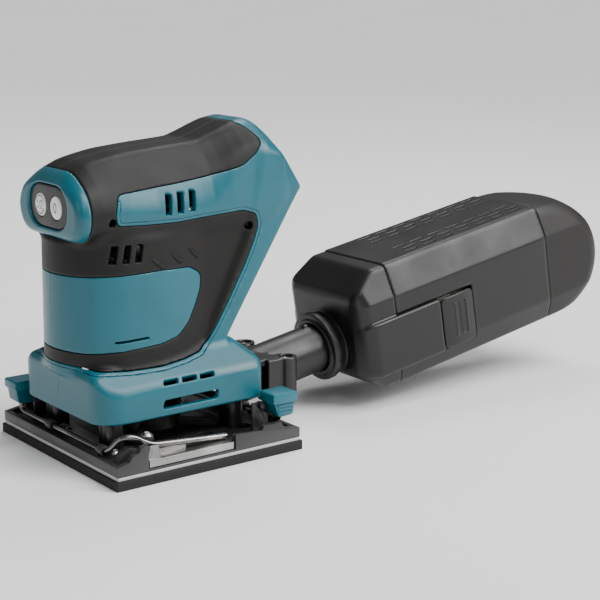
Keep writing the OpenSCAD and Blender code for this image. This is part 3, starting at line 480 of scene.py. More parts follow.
def cut(pts, tris, field, keep_below, snap):
    """Cuts a triangle mesh along field = 0 and keeps one side. Returns points, triangles and the cut edges."""
    s = field(pts)
    if not keep_below:
        s = -s
    # points close to the cut move onto it along the steepest way of the field
    near = np.abs(s) < snap
    if near.any():
        q = pts[near]
        g = field_slope(field, q, 0.01)
        if not keep_below:
            g = -g
        n2 = np.maximum((g * g).sum(1), 0.2)
        pts = pts.copy()
        pts[near] = q - (s[near] / n2)[:, None] * g
        s = s.copy()
        s[near] = 0
    inside = s < 0
    zero = s == 0
    keep_side = inside | zero
    cnt = inside[tris].sum(1)
    outside = (~keep_side)[tris].sum(1)
    full = tris[outside == 0]
    full = full[inside[full].any(axis=1)]
    mixed = tris[(outside > 0) & (cnt > 0)]
    new_pts = []
    made = {}
    base = len(pts)

    def crossing(a, b):
        key = (a, b) if a < b else (b, a)
        if key not in made:
            sa, sb = s[key[0]], s[key[1]]
            t = sa / (sa - sb)
            made[key] = base + len(new_pts)
            new_pts.append(pts[key[0]] * (1 - t) + pts[key[1]] * t)
        return made[key]

    extra = []
    for tri in mixed.tolist():
        poly = []
        for k in range(3):
            a, b = tri[k], tri[(k + 1) % 3]
            if keep_side[a]:
                poly.append(a)
            if (inside[a] and not keep_side[b]) or (inside[b] and not keep_side[a]):
                poly.append(crossing(a, b))
        for k in range(1, len(poly) - 1):
            extra.append((poly[0], poly[k], poly[k + 1]))
    if new_pts:
        pts = np.concatenate([pts, np.array(new_pts)])
    tris = np.concatenate([full, np.array(extra, dtype=np.int64).reshape(-1, 3)]) if extra else full
    on_cut = np.zeros(len(pts), bool)
    on_cut[:base] = zero
    on_cut[base:] = True
    return pts, tris, on_cut


def border_edges(tris):
    """Directed edges that belong to one triangle only."""
    e = np.concatenate([tris[:, [0, 1]], tris[:, [1, 2]], tris[:, [2, 0]]])
    n = int(tris.max()) + 1
    key = np.minimum(e[:, 0], e[:, 1]) * n + np.maximum(e[:, 0], e[:, 1])
    _, first, counts = np.unique(key, return_index=True, return_counts=True)
    return e[first[counts == 1]]


def turned_edge(pts, tris, on_cut, field, sign, f, steps):
    """Adds rings of faces along a cut: each step is (distance past the cut, depth under the surface)."""
    edges = border_edges(tris)
    edges = edges[on_cut[edges[:, 0]] & on_cut[edges[:, 1]]]
    if not len(edges):
        return pts, tris
    ids = np.unique(edges)
    p = pts[ids]
    n = gradient(f, p, 0.05)
    n /= np.maximum(np.linalg.norm(n, axis=1), 1e-6)[:, None]
    g = sign * field_slope(field, p, 0.02)
    g -= (g * n).sum(1)[:, None] * n
    g /= np.maximum(np.linalg.norm(g, axis=1), 1e-6)[:, None]
    look = np.full(len(pts), -1, np.int64)
    look[ids] = np.arange(len(ids))
    rows = [ids]
    for out, depth in steps:
        ring = p + g * out - n * depth
        rows.append(len(pts) + np.arange(len(ids)))
        pts = np.concatenate([pts, ring])
    extra = []
    a, b = look[edges[:, 0]], look[edges[:, 1]]
    for k in range(len(rows) - 1):
        r0, r1 = rows[k], rows[k + 1]
        extra.append(np.stack([r0[b], r0[a], r1[a]], 1))
        extra.append(np.stack([r0[b], r1[a], r1[b]], 1))
    tris = np.concatenate([tris] + extra)
    return pts, tris


def compact(pts, tris):
    used = np.unique(tris)
    look = np.full(len(pts), -1, np.int64)
    look[used] = np.arange(len(used))
    return pts[used], look[tris]

# ---------------------------------------------------------------- zones of the housing, in side view
SOFT = rounded([(-70, 170, 0), (-70, 49.2, 0), (-50, 48.3, 4), (-41, 47.4, 10), (-28, 46.4, 20), (-12, 46.2, 20),
                (1, 47.4, 14),
                (11, 49.2, 9), (16.5, 52.6, 6), (21.6, 59.4, 10), (27, 67.8, 30), (32.6, 77.3, 30), (38.2, 86.8, 30),
                (43.3, 97.3, 20), (46.2, 105, 5), (43.8, 111, 4.5), (36, 113.4, 12), (15, 112.3, 60), (0, 111.3, 60),
                (-16, 111.7, 40), (-32, 112.6, 2.6), (-33.2, 118, 6), (-30.6, 126.6, 3.4), (-14, 127.9, 60), (3,
                        129.2, 60),
                (17, 130.8, 60), (27, 132.6, 30), (36, 134.6, 12), (43.6, 139.4, 8), (48.6, 145.2, 4.5), (45.4,
                                                                                                          150.6, 5),
                (41.5, 153, 3), (41.5, 170, 0)])
PANEL = rounded([(-70, 89.8, 0), (-50, 89.5, 10), (-31, 89.9, 30), (-10, 90.4, 30), (7, 89.6, 7),
                 (14.6, 85.4, 5.5), (13.6, 78, 8),
                 (10.6, 71.5, 12), (5.6, 63.6, 8), (-1, 58.2, 8), (-10, 56.2, 14), (-31, 55.0, 30), (-45, 54.3, 20),
                 (-70, 55.4, 0)])


def slot_outline(x0, z0, x1, z1, half, r=0.6):
    """Slim outline around the line from (x0, z0) to (x1, z1), square ended with small corner radii."""
    a, b = np.array([x0, z0], float), np.array([x1, z1], float)
    d = (b - a) / np.linalg.norm(b - a)
    n = np.array([-d[1], d[0]]) * half
    return rounded([(*(a - n), r), (*(b - n), r), (*(b + n), r), (*(a + n), r)], 4)


HANDLE_VENTS = [slot_outline(-5.7 + 6.4 * k, 114.9 + 0.3 * k, -4.6 + 6.4 * k, 125.0 + 0.4 * k, 1.85,
                             0.5) for k in range(3)]
WEB_VENTS = [rounded([(x - 2.6, 95.4, 0.7), (x + 1.1, 95.2, 0.7), (x + 2.6, 103.8, 0.5), (x - 0.9, 104.0, 0.5)], 4)
             for x in (-33.6, -27.6, -21.6)]
THIN_SLOT = [slot_outline(-34.4, 59.3, -17.2, 60.0, 0.75, 0.7)]
SKIRT_WINDOWS = [rounded([(x - 4.6, 38.6, 0.5), (x + 3.6, 38.7, 0.5), (x + 4.5, 41.3, 0.5), (x - 3.8, 41.2, 0.5)], 4)
                 for x in (-11.3, -1.3, 8.5)]
LONG_SLOT = [rounded([(-17, 27.6, 2.3), (14, 27.8, 2.3), (14.4, 32.6, 1.4), (-15.6, 32.2, 1.4)], 5)]
SCREW_HOLES = [(-34.6, 114.3), (41.0, 105.2)]


def outlines_field(outlines, y_min=15.0):
    """Union of side-view outlines, only where |y| is large enough."""
    def field(p):
        d = np.min([outline_distance(o, p[:, 0], p[:, 2]) for o in outlines], axis=0)
        return np.maximum(d, y_min - np.abs(p[:, 1]))
    return field


def discs_field(points, r):
    def field(p):
        d = np.min([np.hypot(p[:, 0] - x, p[:, 2] - z) for x, z in points], axis=0) - r
        return np.maximum(d, 15 - np.abs(p[:, 1]))
    return field


def rim_field(p):
    """Narrow strip of the shell beside the soft layer, up to the left end of the stripe."""
    return np.maximum(soft_field(p) - 1.6, p[:, 2] - 124.2 - 0.107 * (p[:, 0] + 28))


def soft_field(p):
    return outline_distance(SOFT, p[:, 0], p[:, 2])


def panel_field(p):
    return outline_distance(PANEL, p[:, 0], p[:, 2])


def slot_space(x, y, z):
    """Battery slot: mouth and undercut along the slanted face, open at the top."""
    u = (x - 29.4) * 0.5358 + (z - 53) * 0.8443
    n = (x - 29.4) * 0.8443 - (z - 53) * 0.5358
    mouth = np.maximum(np.maximum(13 - u, y - 18.5), -n - 5)
    under = np.maximum(np.maximum(13 - u, y - 21.5), np.abs(n + 4.55) - 1.95)
    return np.minimum(mouth, under)


def main_distance(x, y, z):
    """Housing without the switch bezel, with the battery slot."""
    ya = np.abs(y)
    f = housing_distance(x, ya, z)
    return meet(f, -slot_space(x, ya, z), 0.7)


def keep(pts, tris, field, below, f, steps, snap=0.16):
    pts, tris, on_cut = cut(pts, tris, field, below, snap)
    if steps:
        pts, tris = turned_edge(pts, tris, on_cut, field, 1 if below else -1, f, steps)
    return compact(pts, tris)


GROOVE = [(0.04, 0.05), (0.1, 0.13), (0.14, 0.3), (0.15, 1.8)]
GAP = 0.3
HOLE = [(0.05, 0.06), (0.14, 0.16), (0.22, 0.34), (0.24, 2.8)]
STEP = 0.95

# ---------------------------------------------------------------- pieces
def add_mesh(name, pts, faces, material, body, slot):
    """New piece from points in millimetres, riding on a body."""
    mesh = bpy.data.meshes.new(name)
    mesh.from_pydata([tuple(p) for p in (np.asarray(pts) * MM).tolist()], [],
                     [tuple(f) for f in np.asarray(faces).tolist()])
    mesh.validate()
    obj = bpy.data.objects.new(name, mesh)
    scene.collection.objects.link(obj)
    mesh.materials.append(M[material])
    mesh.polygons.foreach_set("use_smooth", [True] * len(mesh.polygons))
    mesh.update()
    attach(obj, body)
    return obj


def triangles(quads):
    return np.concatenate([quads[:, [0, 1, 2]], quads[:, [0, 2, 3]]])


def mirrored(pts, tris):
    return pts * np.array([1, -1, 1]), tris[:, ::-1]


# ---------------------------------------------------------------- housing
def housing_half():
    pts, quads = surface_net(main_distance, (-52, -42, 20), (76, 2, 158), STEP)
    tris = triangles(quads)
    pts, tris = keep(pts, tris, lambda p: p[:, 2] - SKIRT_BOTTOM, False, main_distance,
                     [(0.05, 0.05), (0.2, 0.2), (0.3, 0.5), (0.2, 3.0)])
    return keep(pts, tris, lambda p: p[:, 1] + 0.06, True, main_distance, [(0.03, 0.05), (0.06, 0.14), (0.07, 2.4)])


def pierce(pts, tris, field, f, steps=HOLE):
    return keep(pts, tris, field, False, f, steps)


def bead(points, y0, f, r, n=10):
    """Low ridge that follows the surface under a bent line in side view."""
    line = []
    for (ax, az), (bx, bz) in zip(points[:-1], points[1:]):
        for k in range(n):
            line.append((ax + (bx - ax) * k / n, az + (bz - az) * k / n))
    line.append(points[-1])
    line = np.array(line)
    y = np.full(len(line), y0)
    for _ in range(60):
        y += np.clip(f(line[:, 0], y, line[:, 1]), -2, 2) * 0.8
    p = np.stack([line[:, 0], y, line[:, 1]], 1)
    g = gradient(f, p, 0.05)
    g /= np.linalg.norm(g, axis=1)[:, None]
    t = np.gradient(p, axis=0)
    t /= np.linalg.norm(t, axis=1)[:, None]
    side = np.cross(t, g)
    ring = []
    taper = np.sin(np.linspace(0.12, math.pi - 0.12, len(p))) ** 0.5
    for a in np.linspace(0, math.pi, 7):
        ring.append(p + side * (math.cos(a) * r * 1.5 * taper)[:, None] + g * ((math.sin(a) * r - 0.05) * taper)[:,
                None])
    ring = np.stack(ring, 1)
    m, k = ring.shape[:2]
    tris = []
    for i in range(m - 1):
        for j in range(k - 1):
            a, b, c, d = i * k + j, i * k + j + 1, (i + 1) * k + j + 1, (i + 1) * k + j
            tris += [(a, b, c), (a, c, d)]
    return ring.reshape(-1, 3), np.array(tris)


def merged(parts):
    pts, tris, base = [], [], 0
    for p, t in parts:
        pts.append(p)
        tris.append(t + base)
        base += len(p)
    return np.concatenate(pts), np.concatenate(tris)


base_pts, base_tris = housing_half()
shell = keep(base_pts, base_tris, lambda p: soft_field(p) - GAP, False, main_distance, GROOVE)
shell = pierce(*shell, outlines_field(HANDLE_VENTS), main_distance)
shell = pierce(*shell, outlines_field(SKIRT_WINDOWS), main_distance)
shell = pierce(*shell, outlines_field(LONG_SLOT), main_distance)
LINE = [(0.02, 0.03), (0.04, 0.08), (0.05, 1.9)]
rim = keep(*shell, lambda p: rim_field(p) + 0.12, True, main_distance, LINE)
shell = merged([rim, keep(*shell, lambda p: rim_field(p) - 0.12, False, main_distance, LINE)])
soft = keep(base_pts, base_tris, lambda p: soft_field(p) + GAP, True, main_distance, GROOVE)
panel = keep(*soft, lambda p: panel_field(p) + GAP, True, main_distance, GROOVE)
soft = keep(*soft, lambda p: panel_field(p) - GAP, False, main_distance, GROOVE)
soft = pierce(*soft, outlines_field(WEB_VENTS), main_distance)
soft = pierce(*soft, discs_field(SCREW_HOLES, 2.2), main_distance)
panel = pierce(*panel, outlines_field(THIN_SLOT), main_distance)
beads = [bead([(x, z), (x + 5.6, z - 4.3), (x + 7.2, z - 3.6)], -40.0, main_distance, 0.8)
         for x, z in ((-15.2, 96.2), (-4.4, 97.4), (6.6, 98.2))]
soft = merged([soft] + beads)

for side, flip in (("left", False), ("right", True)):
    for name, (pts, tris), material, node in (("shell", shell, "shell_teal", "housing_"),
                                              ("grip", soft, "soft_grip", "grip_"),
                                              ("panel", panel, "shell_teal", None)):
        if flip:
            pts, tris = mirrored(pts, tris)
        piece = add_mesh(name + "_" + side, pts, tris, material, "housing", material)
        if node:
            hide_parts(node + side)


# ---------------------------------------------------------------- switch bezel, boot and buttons
def stadium(y, z, half_y, half_z):
    """Outline of the button pad: two half rounds and a straight middle."""
    middle, end = half_y * 0.34, half_y * 0.66
    q = np.maximum(np.abs(y) - middle, 0) / end
    w = np.abs(z - SWITCH_Z) / half_z
    return (np.power(q ** 2.2 + w ** 2.2 + 1e-9, 1 / 2.2) - 1) * min(end, half_z)


def bezel_full(x, y, z):
    ya = np.abs(y)
    f = meet(head_distance(x, ya, z), x + 45.15, 0.6)
    return meet(f, -stadium(ya, z, 18.3, 10.0), 1.0)


def boot_distance(x, y, z):
    f = meet(stadium(np.abs(y), z, 18.1, 9.8), -50.6 - x + 0.002 * (y * y + (z - SWITCH_Z) ** 2), 0.8)
    f = meet(f, x + 46.5, 0.4)
    ring = oval(np.abs(y) - BUTTON_Y, z)
    return meet(f, -np.maximum(ring - 0.25, x + 44), 0.35)


def oval(y, z):
    """Outline of a button, 9.8 mm wide and 10.6 mm high."""
    return (np.sqrt((y / 4.9) ** 2 + ((z - SWITCH_Z) / 5.3) ** 2 + 1e-9) - 1) * 5.1


def button_distance(x, y, z):
    r = np.hypot(y, z - SWITCH_Z)
    return meet(oval(y, z), np.maximum(-51.0 + 0.01 * r * r - x, x + 47), 0.5)


pts, quads = surface_net(bezel_full, (-53, -33, 102), (-43, 33, 138), 0.7)
bezel = add_mesh("bezel", pts, triangles(quads), "shell_teal", "housing", "shell_teal")
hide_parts("switch_bezel")
pts, quads = surface_net(boot_distance, (-52, -18.5, 107.8), (-45, 18.5, 132.2), 0.42)
boot = add_mesh("boot", pts, triangles(quads), "boot_rubber", "housing", "boot_rubber")
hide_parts("switch_boot")


def ribbon(points, half, x, closed=False, lift=0.05):
    """Flat raised line on a button face: points are (y, z)."""
    p = np.array(points, float)
    if closed:
        t = np.roll(p, -1, 0) - np.roll(p, 1, 0)
    else:
        t = np.gradient(p, axis=0)
    t /= np.linalg.norm(t, axis=1)[:, None]
    n = np.stack([-t[:, 1], t[:, 0]], 1) * half
    a, b = p + n, p - n
    rows = [(a, 0.0), (a, lift), (b, lift), (b, 0.0)]
    out = np.concatenate([np.stack([x(q) - d, q[:, 0], q[:, 1]], 1) for q, d in rows])
    m = len(p)
    tris = []
    for i in range(m if closed else m - 1):
        j = (i + 1) % m
        for k in range(3):
            q0, q1, q2, q3 = k * m + i, (k + 1) * m + i, (k + 1) * m + j, k * m + j
            tris += [(q0, q1, q2), (q0, q2, q3)]
    return out, np.array(tris)


def face_x(cy):
    return lambda q: -50.98 + 0.01 * ((q[:, 0] - cy) ** 2 + (q[:, 1] - SWITCH_Z) ** 2)


def arc_points(cy, cz, ry, rz, a0, a1, n=20):
    a = np.radians(np.linspace(a0, a1, n))
    return np.stack([cy + ry * np.cos(a), cz + rz * np.sin(a)], 1)


for name, cy, node in (("button_power_off", -BUTTON_Y, "button_off"),
                       ("button_power_speed", BUTTON_Y, "button_speed")):
    pts, quads = surface_net(button_distance, (-51.5, -6, 112.8), (-46, 6, 127.2), 0.32)
    pts = pts + np.array([0, cy, 0])
    piece = add_mesh(name, pts, triangles(quads), "button_white", node, "button_white")
    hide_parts(node)

zero = ribbon(arc_points(-BUTTON_Y, SWITCH_Z, 1.15, 2.1, 0, 345.6, 25), 0.28, face_x(-BUTTON_Y), closed=True)
add_mesh("mark_zero", *zero, "mark_grey", "button_off", "boot_rubber")
# seen from the front, Y grows to the left, so the figures are drawn with mirrored Y
ring = [ribbon(arc_points(BUTTON_Y, SWITCH_Z, 3.9, 4.2, a, b, 24), 0.24, face_x(BUTTON_Y)) for a,
        b in ((20, 160), (200, 340))]
one = ribbon([(9.6, SWITCH_Z + 1.0), (9.0, SWITCH_Z + 1.9), (9.0, SWITCH_Z - 1.9)], 0.26, face_x(BUTTON_Y))
two = ribbon(np.concatenate([arc_points(5.7, SWITCH_Z + 0.7, -0.95, 1.1, 170, -30, 12), [(6.6, SWITCH_Z - 1.8)],
                             [(4.7, SWITCH_Z - 1.8)]]), 0.24, face_x(BUTTON_Y))
dash = ribbon([(7.9, SWITCH_Z - 1.5), (7.1, SWITCH_Z + 1.5)], 0.14, face_x(BUTTON_Y))
add_mesh("mark_speed", *merged(ring + [one, two, dash]), "mark_grey", "button_speed", "boot_rubber")


# ---------------------------------------------------------------- dust nozzle
TILT = math.radians(10)


def to_tube(x, z):
    """World side view to the dust tube's frame: along the tube and above it."""
    dx, dz = x - TUBE_X, z - TUBE_Z
    return dx * math.cos(TILT) + dz * math.sin(TILT), -dx * math.sin(TILT) + dz * math.cos(TILT)


def from_tube(pts):
    s, y, h = pts[:, 0], pts[:, 1], pts[:, 2]
    c, k = math.cos(TILT), math.sin(TILT)
    return np.stack([TUBE_X + s * c - h * k, y, TUBE_Z + s * k + h * c], 1)


def slab(x, y, z, x0, x1, half, z0, z1, r):
    qx = np.abs(x - (x0 + x1) / 2) - (x1 - x0) / 2 + r
    qy = y - half + r
    qz = np.abs(z - (z0 + z1) / 2) - (z1 - z0) / 2 + r
    out = np.sqrt(np.maximum(qx, 0) ** 2 + np.maximum(qy, 0) ** 2 + np.maximum(qz, 0) ** 2)
    return out + np.minimum(np.maximum(qx, np.maximum(qy, qz)), 0) - r


def nozzle_distance(x, y, z):
    y = np.abs(y)
    s, h = to_tube(x, z)
    r = np.hypot(y, h)
    tube = meet(r - 12.6, np.maximum(s - 16, -46 - s), 0.5)
    f = join(slab(x, y, z, 41.3, 61.5, 16, 16.4, 35.2, 2.2), tube, 1.6)
    f = np.minimum(f, slab(x, y, z, 41.3, 43.6, 25, 22, 38, 1.0))
    f = join(f, slab(x, y, z, 49.5, 64.5, 18.4, 31.6, 35.2, 0.6), 0.5)
    ear = meet(np.hypot(x - 68.8, y - 18) - 5.6, np.maximum(z - 35.3, 12.5 - z), 0.5)
    ear = join(ear, slab(x, np.abs(y - 16.4), z, 56, 69, 5, 13.5, 35.2, 0.7), 0.6)
    f = join(f, ear, 0.8)
    f = meet(f, -np.maximum(np.hypot(x - 68.8, y - 18) - 3.65, 31.5 - z), 0.3)
    f = join(f, slab(s, y, h, -0.8, 2.4, 1.7, 10.5, 14.0, 0.7), 0.7)
    return meet(f, -np.maximum(r - 10.4, -24 - s), 0.4)


pts, quads = surface_net(nozzle_distance, (40, -27, 11), (116, 27, 50), 0.72)
nozzle = add_mesh("nozzle", pts, triangles(quads), "black_plastic", "housing", "black_plastic")
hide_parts("dust_nozzle")


# ---------------------------------------------------------------- dust box, in the tube's frame (along, across, above)
SECTION = rounded([(-27, -25, 2.5), (27, -25, 2.5), (31, -13, 2.2), (31, 23, 2.2), (25, 40, 3.4), (-25, 40, 3.4),
                   (-31, 23, 2.2),
                   (-31, -13, 2.2)], 5)
FRONT_SIDE = rounded([(12.5, -13.5, 3), (27, -25, 5), (48, -25, 0), (48, 40, 0), (30, 40, 4.5), (15, 29.6, 3),
                      (12.5, 25.5, 3)])


def section_distance(y, h):
    return outline_distance(SECTION, y, h)


def front_distance(s, y, h):
    y = np.abs(y)
    plan = np.maximum(12.5 - s, ((y - 24) * 5.5 - (s - 12.5) * 7) / math.hypot(5.5, 7))
    f = meet(section_distance(y, h), outline_distance(FRONT_SIDE, s, h), 2.2)
    f = meet(f, plan, 3)
    f = meet(f, s - 37.5, 0.3)
    block = meet(slab(s, y, h + 1.3, 0, 66, 33.2, -14.6, 14.6, 1.2),
                 ((y - 27.0) * 6 - (s - 14) * 7) / math.hypot(6, 7), 3)
    block = meet(block, np.maximum(14.6 - s, 24 - y), 2)
    f = join(f, block, 0.7)
    r = np.hypot(y, h)
    f = join(f, meet(r - 15.2, np.maximum(4 - s, s - 24), 0.5), 1.2)
    f = join(f, meet(r - 18.2, np.maximum(5 - s, s - 9.4), 0.9), 0.3)
    f = join(f, meet(r - 16.8, np.maximum(9 - s, s - 16), 0.5), 0.4)
    inner = np.maximum(section_distance(y, h) + BOX_WALL, 40 - s)
    f = meet(f, -inner, 0.3)
    return meet(f, -np.maximum(r - 12.95, s - 22), 0.5)


def body_box_distance(s, y, h):
    y = np.abs(y)
    f = meet(section_distance(y, h), np.maximum(37.85 - s, s - 148), 0.35)
    arm = np.maximum(np.maximum(s - 66.35, 27.5 - y), np.abs(h + 1.3) - 14.7)
    latch_space = np.maximum(np.maximum(np.abs(s - 78.6) - 12.1, 29.2 - y), np.abs(h + 1.5) - 14.9)
    f = meet(f, -arm, 0.4)
    f = meet(f, -latch_space, 0.4)
    return meet(f, -section_distance(y, h) - BOX_WALL, 0.1)


def cap_distance(s, y, h):
    y = np.abs(y)
    dome = np.sqrt(((s - 148) / 46.9) ** 2 + ((h - 5) / 38.8) ** 2 + (y / 62) ** 2)
    f = meet(section_distance(y, h), (dome - 1) * 38, 5)
    return meet(f, 148.05 - s, 0.35)


def latch_distance(s, y, h):
    y = np.abs(y)
    q1 = np.abs(s - 78.6) - 11.5 + 3
    q2 = np.abs(h + 1.5) - 14.1 + 3
    plate = np.hypot(np.maximum(q1, 0), np.maximum(q2, 0)) + np.minimum(np.maximum(q1, q2), 0) - 3
    f = meet(plate, np.maximum(y - 32.9 + 0.008 * (s - 76) ** 2, 30.9 - y), 0.7)
    for k in range(3):
        rib = np.hypot(s - 75.7 - 4.0 * k, y - 32.3)
        f = join(f, meet(rib - 1.0, np.abs(h + 1) - 9.5, 0.6), 0.3)
    return f


def slot_rows():
    out = []
    for i, y in enumerate((-19.2, -14.2, -9.2)):
        for k in range(7):
            s = 57.5 + 12.6 * k + (2.5 if i == 1 else 0)
            out.append(rounded([(s, y - 0.75, 0.4), (s + 9, y - 0.75, 0.4), (s + 9, y + 0.75, 0.4),
                                (s, y + 0.75, 0.4)], 3))
    return out


def rows_field(p):
    ya = -np.abs(p[:, 1])
    d = np.full(len(p), 1e9)
    top = p[:, 2] > 36
    d[top] = np.min([outline_distance(o, p[top, 0], ya[top]) for o in slot_rows()], axis=0)
    return d


pts, quads = surface_net(front_distance, (3, -34.6, -27), (67.5, 34.6, 42), 0.85)
front = add_mesh("box_nose", from_tube(pts), triangles(quads), "box_plastic", "box_front", "box_plastic")
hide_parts("box_front")
pts, quads = surface_net(body_box_distance, (37, -32, -26), (149, 32, 41), 0.95)
tris = triangles(quads)
mid = pts[tris].mean(1)
inner = (section_distance(np.abs(mid[:, 1]), mid[:, 2]) < -1.2) & (mid[:, 0] > 39) & (mid[:, 0] < 147)
pts, tris = compact(pts, tris[~inner])
pts, tris = pierce(pts, tris, rows_field, body_box_distance, [(0.04, 0.05), (0.08, 0.12), (0.1, 0.3), (0.12, 2.2)])
box_mid = add_mesh("box_middle", from_tube(pts), tris, "box_plastic", "box", "box_plastic")
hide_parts("box_body")
pts, quads = surface_net(cap_distance, (147, -32, -26), (198.5, 32, 41), 0.95)
cap = add_mesh("box_end", from_tube(pts), triangles(quads), "cap_plastic", "box", "box_plastic")
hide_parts("box_cap")
pts, quads = surface_net(latch_distance, (66.4, -34, -16.6), (91, -29.4, 14), 0.42)
for name, flip in (("left", False), ("right", True)):
    p, t = pts, triangles(quads)
    if flip:
        p, t = mirrored(p, t)
    piece = add_mesh("latch_plate_" + name, from_tube(p), t, "box_plastic", "latch_" + name, "box_plastic")
    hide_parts("latch_" + name)


# ---------------------------------------------------------------- smaller parts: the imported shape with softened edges
def bevelled(node, body, name, material, width, segments=2, angle=32):
    source = frame["nodes"][node]
    mesh = source.data.copy()
    obj = bpy.data.objects.new(name, mesh)
    scene.collection.objects.link(obj)
    bm = bmesh.new()
    bm.from_mesh(mesh)
    bmesh.ops.remove_doubles(bm, verts=bm.verts, dist=0.00002)
    bmesh.ops.dissolve_limit(bm, angle_limit=math.radians(1.5), verts=bm.verts, edges=bm.edges)
    bm.to_mesh(mesh)
    bm.free()
    mod = obj.modifiers.new("soft", "BEVEL")
    mod.width = width * MM
    mod.segments = segments
    mod.limit_method = "ANGLE"
    mod.angle_limit = math.radians(angle)
    mod.use_clamp_overlap = True
    mod.harden_normals = False
    deps = bpy.context.evaluated_depsgraph_get()
    done = bpy.data.meshes.new_from_object(obj.evaluated_get(deps))
    obj.modifiers.clear()
    obj.data = done
    done.materials.clear()
    done.materials.append(M[material])
    done.polygons.foreach_set("use_smooth", [True] * len(done.polygons))
    done.set_sharp_from_angle(angle=math.radians(38))
    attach(obj, body)
    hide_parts(node)
    return obj


def bent_wire(path, r, bend, sides=14):
    """Round wire along a path in millimetres, with rounded bends and rounded ends."""
    line = [np.array(path[0], float)]
    for i in range(1, len(path) - 1):
        p0, p1, p2 = (np.array(path[i + k], float) for k in (-1, 0, 1))
        a, b = p0 - p1, p2 - p1
        reach = min(bend, 0.48 * np.linalg.norm(a), 0.48 * np.linalg.norm(b))
        a, b = p1 + a / np.linalg.norm(a) * reach, p1 + b / np.linalg.norm(b) * reach
        for u in np.linspace(0, 1, 9):
            line.append((1 - u) ** 2 * a + 2 * u * (1 - u) * p1 + u * u * b)
    line.append(np.array(path[-1], float))
    line = np.array(line)
    t = np.gradient(line, axis=0)
    t /= np.linalg.norm(t, axis=1)[:, None]
    n = np.cross(t[0], [1.0, 0, 0])
    rings = []
    for k in range(len(line)):
        n = n - t[k] * (n @ t[k])
        n /= np.linalg.norm(n)
        rings.append((line[k], n.copy(), np.cross(t[k], n)))
    out = []

    def ring_at(c, u, v, rad):
        angle = np.linspace(0, 2 * math.pi, sides, endpoint=False)
        return c + rad * (np.cos(angle)[:, None] * u + np.sin(angle)[:, None] * v)

    for a in np.linspace(1.45, 0.25, 4):
        out.append(ring_at(line[0] - t[0] * r * math.sin(a), rings[0][1], rings[0][2], r * math.cos(a)))
    for c, u, v in rings:
        out.append(ring_at(c, u, v, r))
    for a in np.linspace(0.25, 1.45, 4):
        out.append(ring_at(line[-1] + t[-1] * r * math.sin(a), rings[-1][1], rings[-1][2], r * math.cos(a)))
    pts = np.concatenate(out)
    tris = []
    for i in range(len(out) - 1):
        for j in range(sides):
            k = (j + 1) % sides
            a, b, c, d = i * sides + j, i * sides + k, (i + 1) * sides + k, (i + 1) * sides + j
            tris += [(a, b, c), (a, c, d)]
    first, last = len(pts), len(pts) + 1
    pts = np.concatenate([pts, [out[0].mean(0)], [out[-1].mean(0)]])
    end = (len(out) - 1) * sides
    for j in range(sides):
        k = (j + 1) % sides
        tris += [(first, k, j), (last, end + j, end + k)]
    return pts, np.array(tris)


LEVER = [(-45.5, 44.5, 26), (-45.5, 44.5, 12.8), (-45.5, -38.5, 12.8), (-42, -43.5, 20.2), (-36.5, -46.6, 20.4),
         (-29, -49, 16),
         (11, -49, 12.7)]
pts, tris = bent_wire(LEVER, 1.5, 4.5)
for side, turn in (("left", 1), ("right", -1)):
    wire = add_mesh("wire_lever_" + side, pts * np.array([turn, turn, 1]), tris, "wire_steel", "lever_" + side,
                    "wire_steel")
    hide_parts("lever_" + side)


SLOT_OF = {s["node"]: s["material_slot"] for s in frame["record"]["subparts"] if "node" in s}
BODY_OF = {n: o["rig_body"] for n, o in frame["nodes"].items()}
for node, name, material, width in (
        ("base_plate", "base_pan", "base_paint", 0.4), ("pad_layer", "backing_layer", "light_layer", 0.15),
        ("pad_cushion", "cushion", "foam", 0.35), ("clamp_plate_left", "paper_bar_left", "clamp_steel", 0.3),
        ("clamp_plate_right", "paper_bar_right", "clamp_steel", 0.3), ("lever_knob_left", "lever_thumb_left",
                                                                       "shell_teal", 0.9),
        ("lever_knob_right", "lever_thumb_right", "shell_teal", 0.9), ("lever_clips", "lever_clip_plates",
                                                                       "base_paint", 0.3),
        ("lever_catches", "lever_hooks", "base_paint", 0.25), ("clamp_screws", "clamp_screw_heads", "steel", 0.2),
        ("foot_posts", "rubber_feet", "boot_rubber", 0.4), ("nozzle_screws", "nozzle_screw_heads", "steel", 0.2),
        ("housing_screws", "housing_screw_heads", "dark_steel", 0.15)):
    piece = bevelled(node, BODY_OF[node], name, material, width)

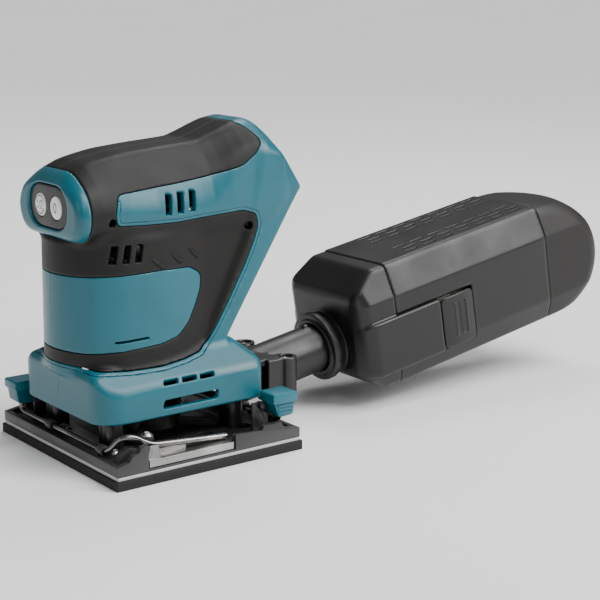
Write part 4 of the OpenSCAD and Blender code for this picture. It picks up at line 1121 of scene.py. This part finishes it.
for node, obj in frame["nodes"].items():
    if not obj.hide_render:
        obj.data.materials.clear()
        obj.data.materials.append(M[SLOT_OF[node]])

# ---------------------------------------------------------------- floor and light
floor_mesh = bpy.data.meshes.new("floor")
floor_mesh.from_pydata([(-40, -40, 0), (40, -40, 0), (40, 40, 0), (-40, 40, 0)], [], [(0, 1, 2, 3)])
floor = bpy.data.objects.new("floor", floor_mesh)
scene.collection.objects.link(floor)
m, nodes, links, shader = new_material("floor_paper", (0.92, 0.92, 0.92), 0.7, specular=0.2)
v = position(nodes, links)
links.new(ramp(nodes, links, noise(nodes, links, v, 3, 2.0), [(0.3, (0.9, 0.9, 0.9)), (0.7, (0.93, 0.93, 0.93))]),
          shader.inputs["Base Color"])
floor_mesh.materials.append(m)


def area(name, at, to, size, power, size_y=None):
    data = bpy.data.lights.new(name, "AREA")
    data.shape = "RECTANGLE"
    data.size = size
    data.size_y = size_y or size
    data.energy = power
    lamp = bpy.data.objects.new(name, data)
    scene.collection.objects.link(lamp)
    lamp.location = at
    lamp.rotation_euler = (Vector(to) - Vector(at)).to_track_quat("-Z", "Y").to_euler()
    return lamp


sun_data = bpy.data.lights.new("sky", "SUN")
sun_data.energy = 3.1
sun_data.angle = math.radians(45)
sun = bpy.data.objects.new("sky", sun_data)
scene.collection.objects.link(sun)
sun.rotation_euler = Vector((-0.35, 0.5, -1)).to_track_quat("-Z", "Y").to_euler()
area("key", (-0.35, -1.0, 1.0), (0.03, 0, 0.08), 0.4, 2.5)
area("side", (0.80, -0.88, 0.66), (0.1, 0, 0.08), 0.4, 9, 0.6)
area("back", (0.55, 0.5, 1.15), (0.08, 0, 0.1), 0.5, 5.5)
area("front", (-1.2, -0.2, 0.55), (-0.04, 0, 0.1), 0.3, 1.0, 0.6)
world = bpy.data.worlds.new("studio")
scene.world = world
world.use_nodes = True
world.node_tree.nodes["Background"].inputs["Color"].default_value = (1, 1, 1, 1)
world.node_tree.nodes["Background"].inputs["Strength"].default_value = 0.22
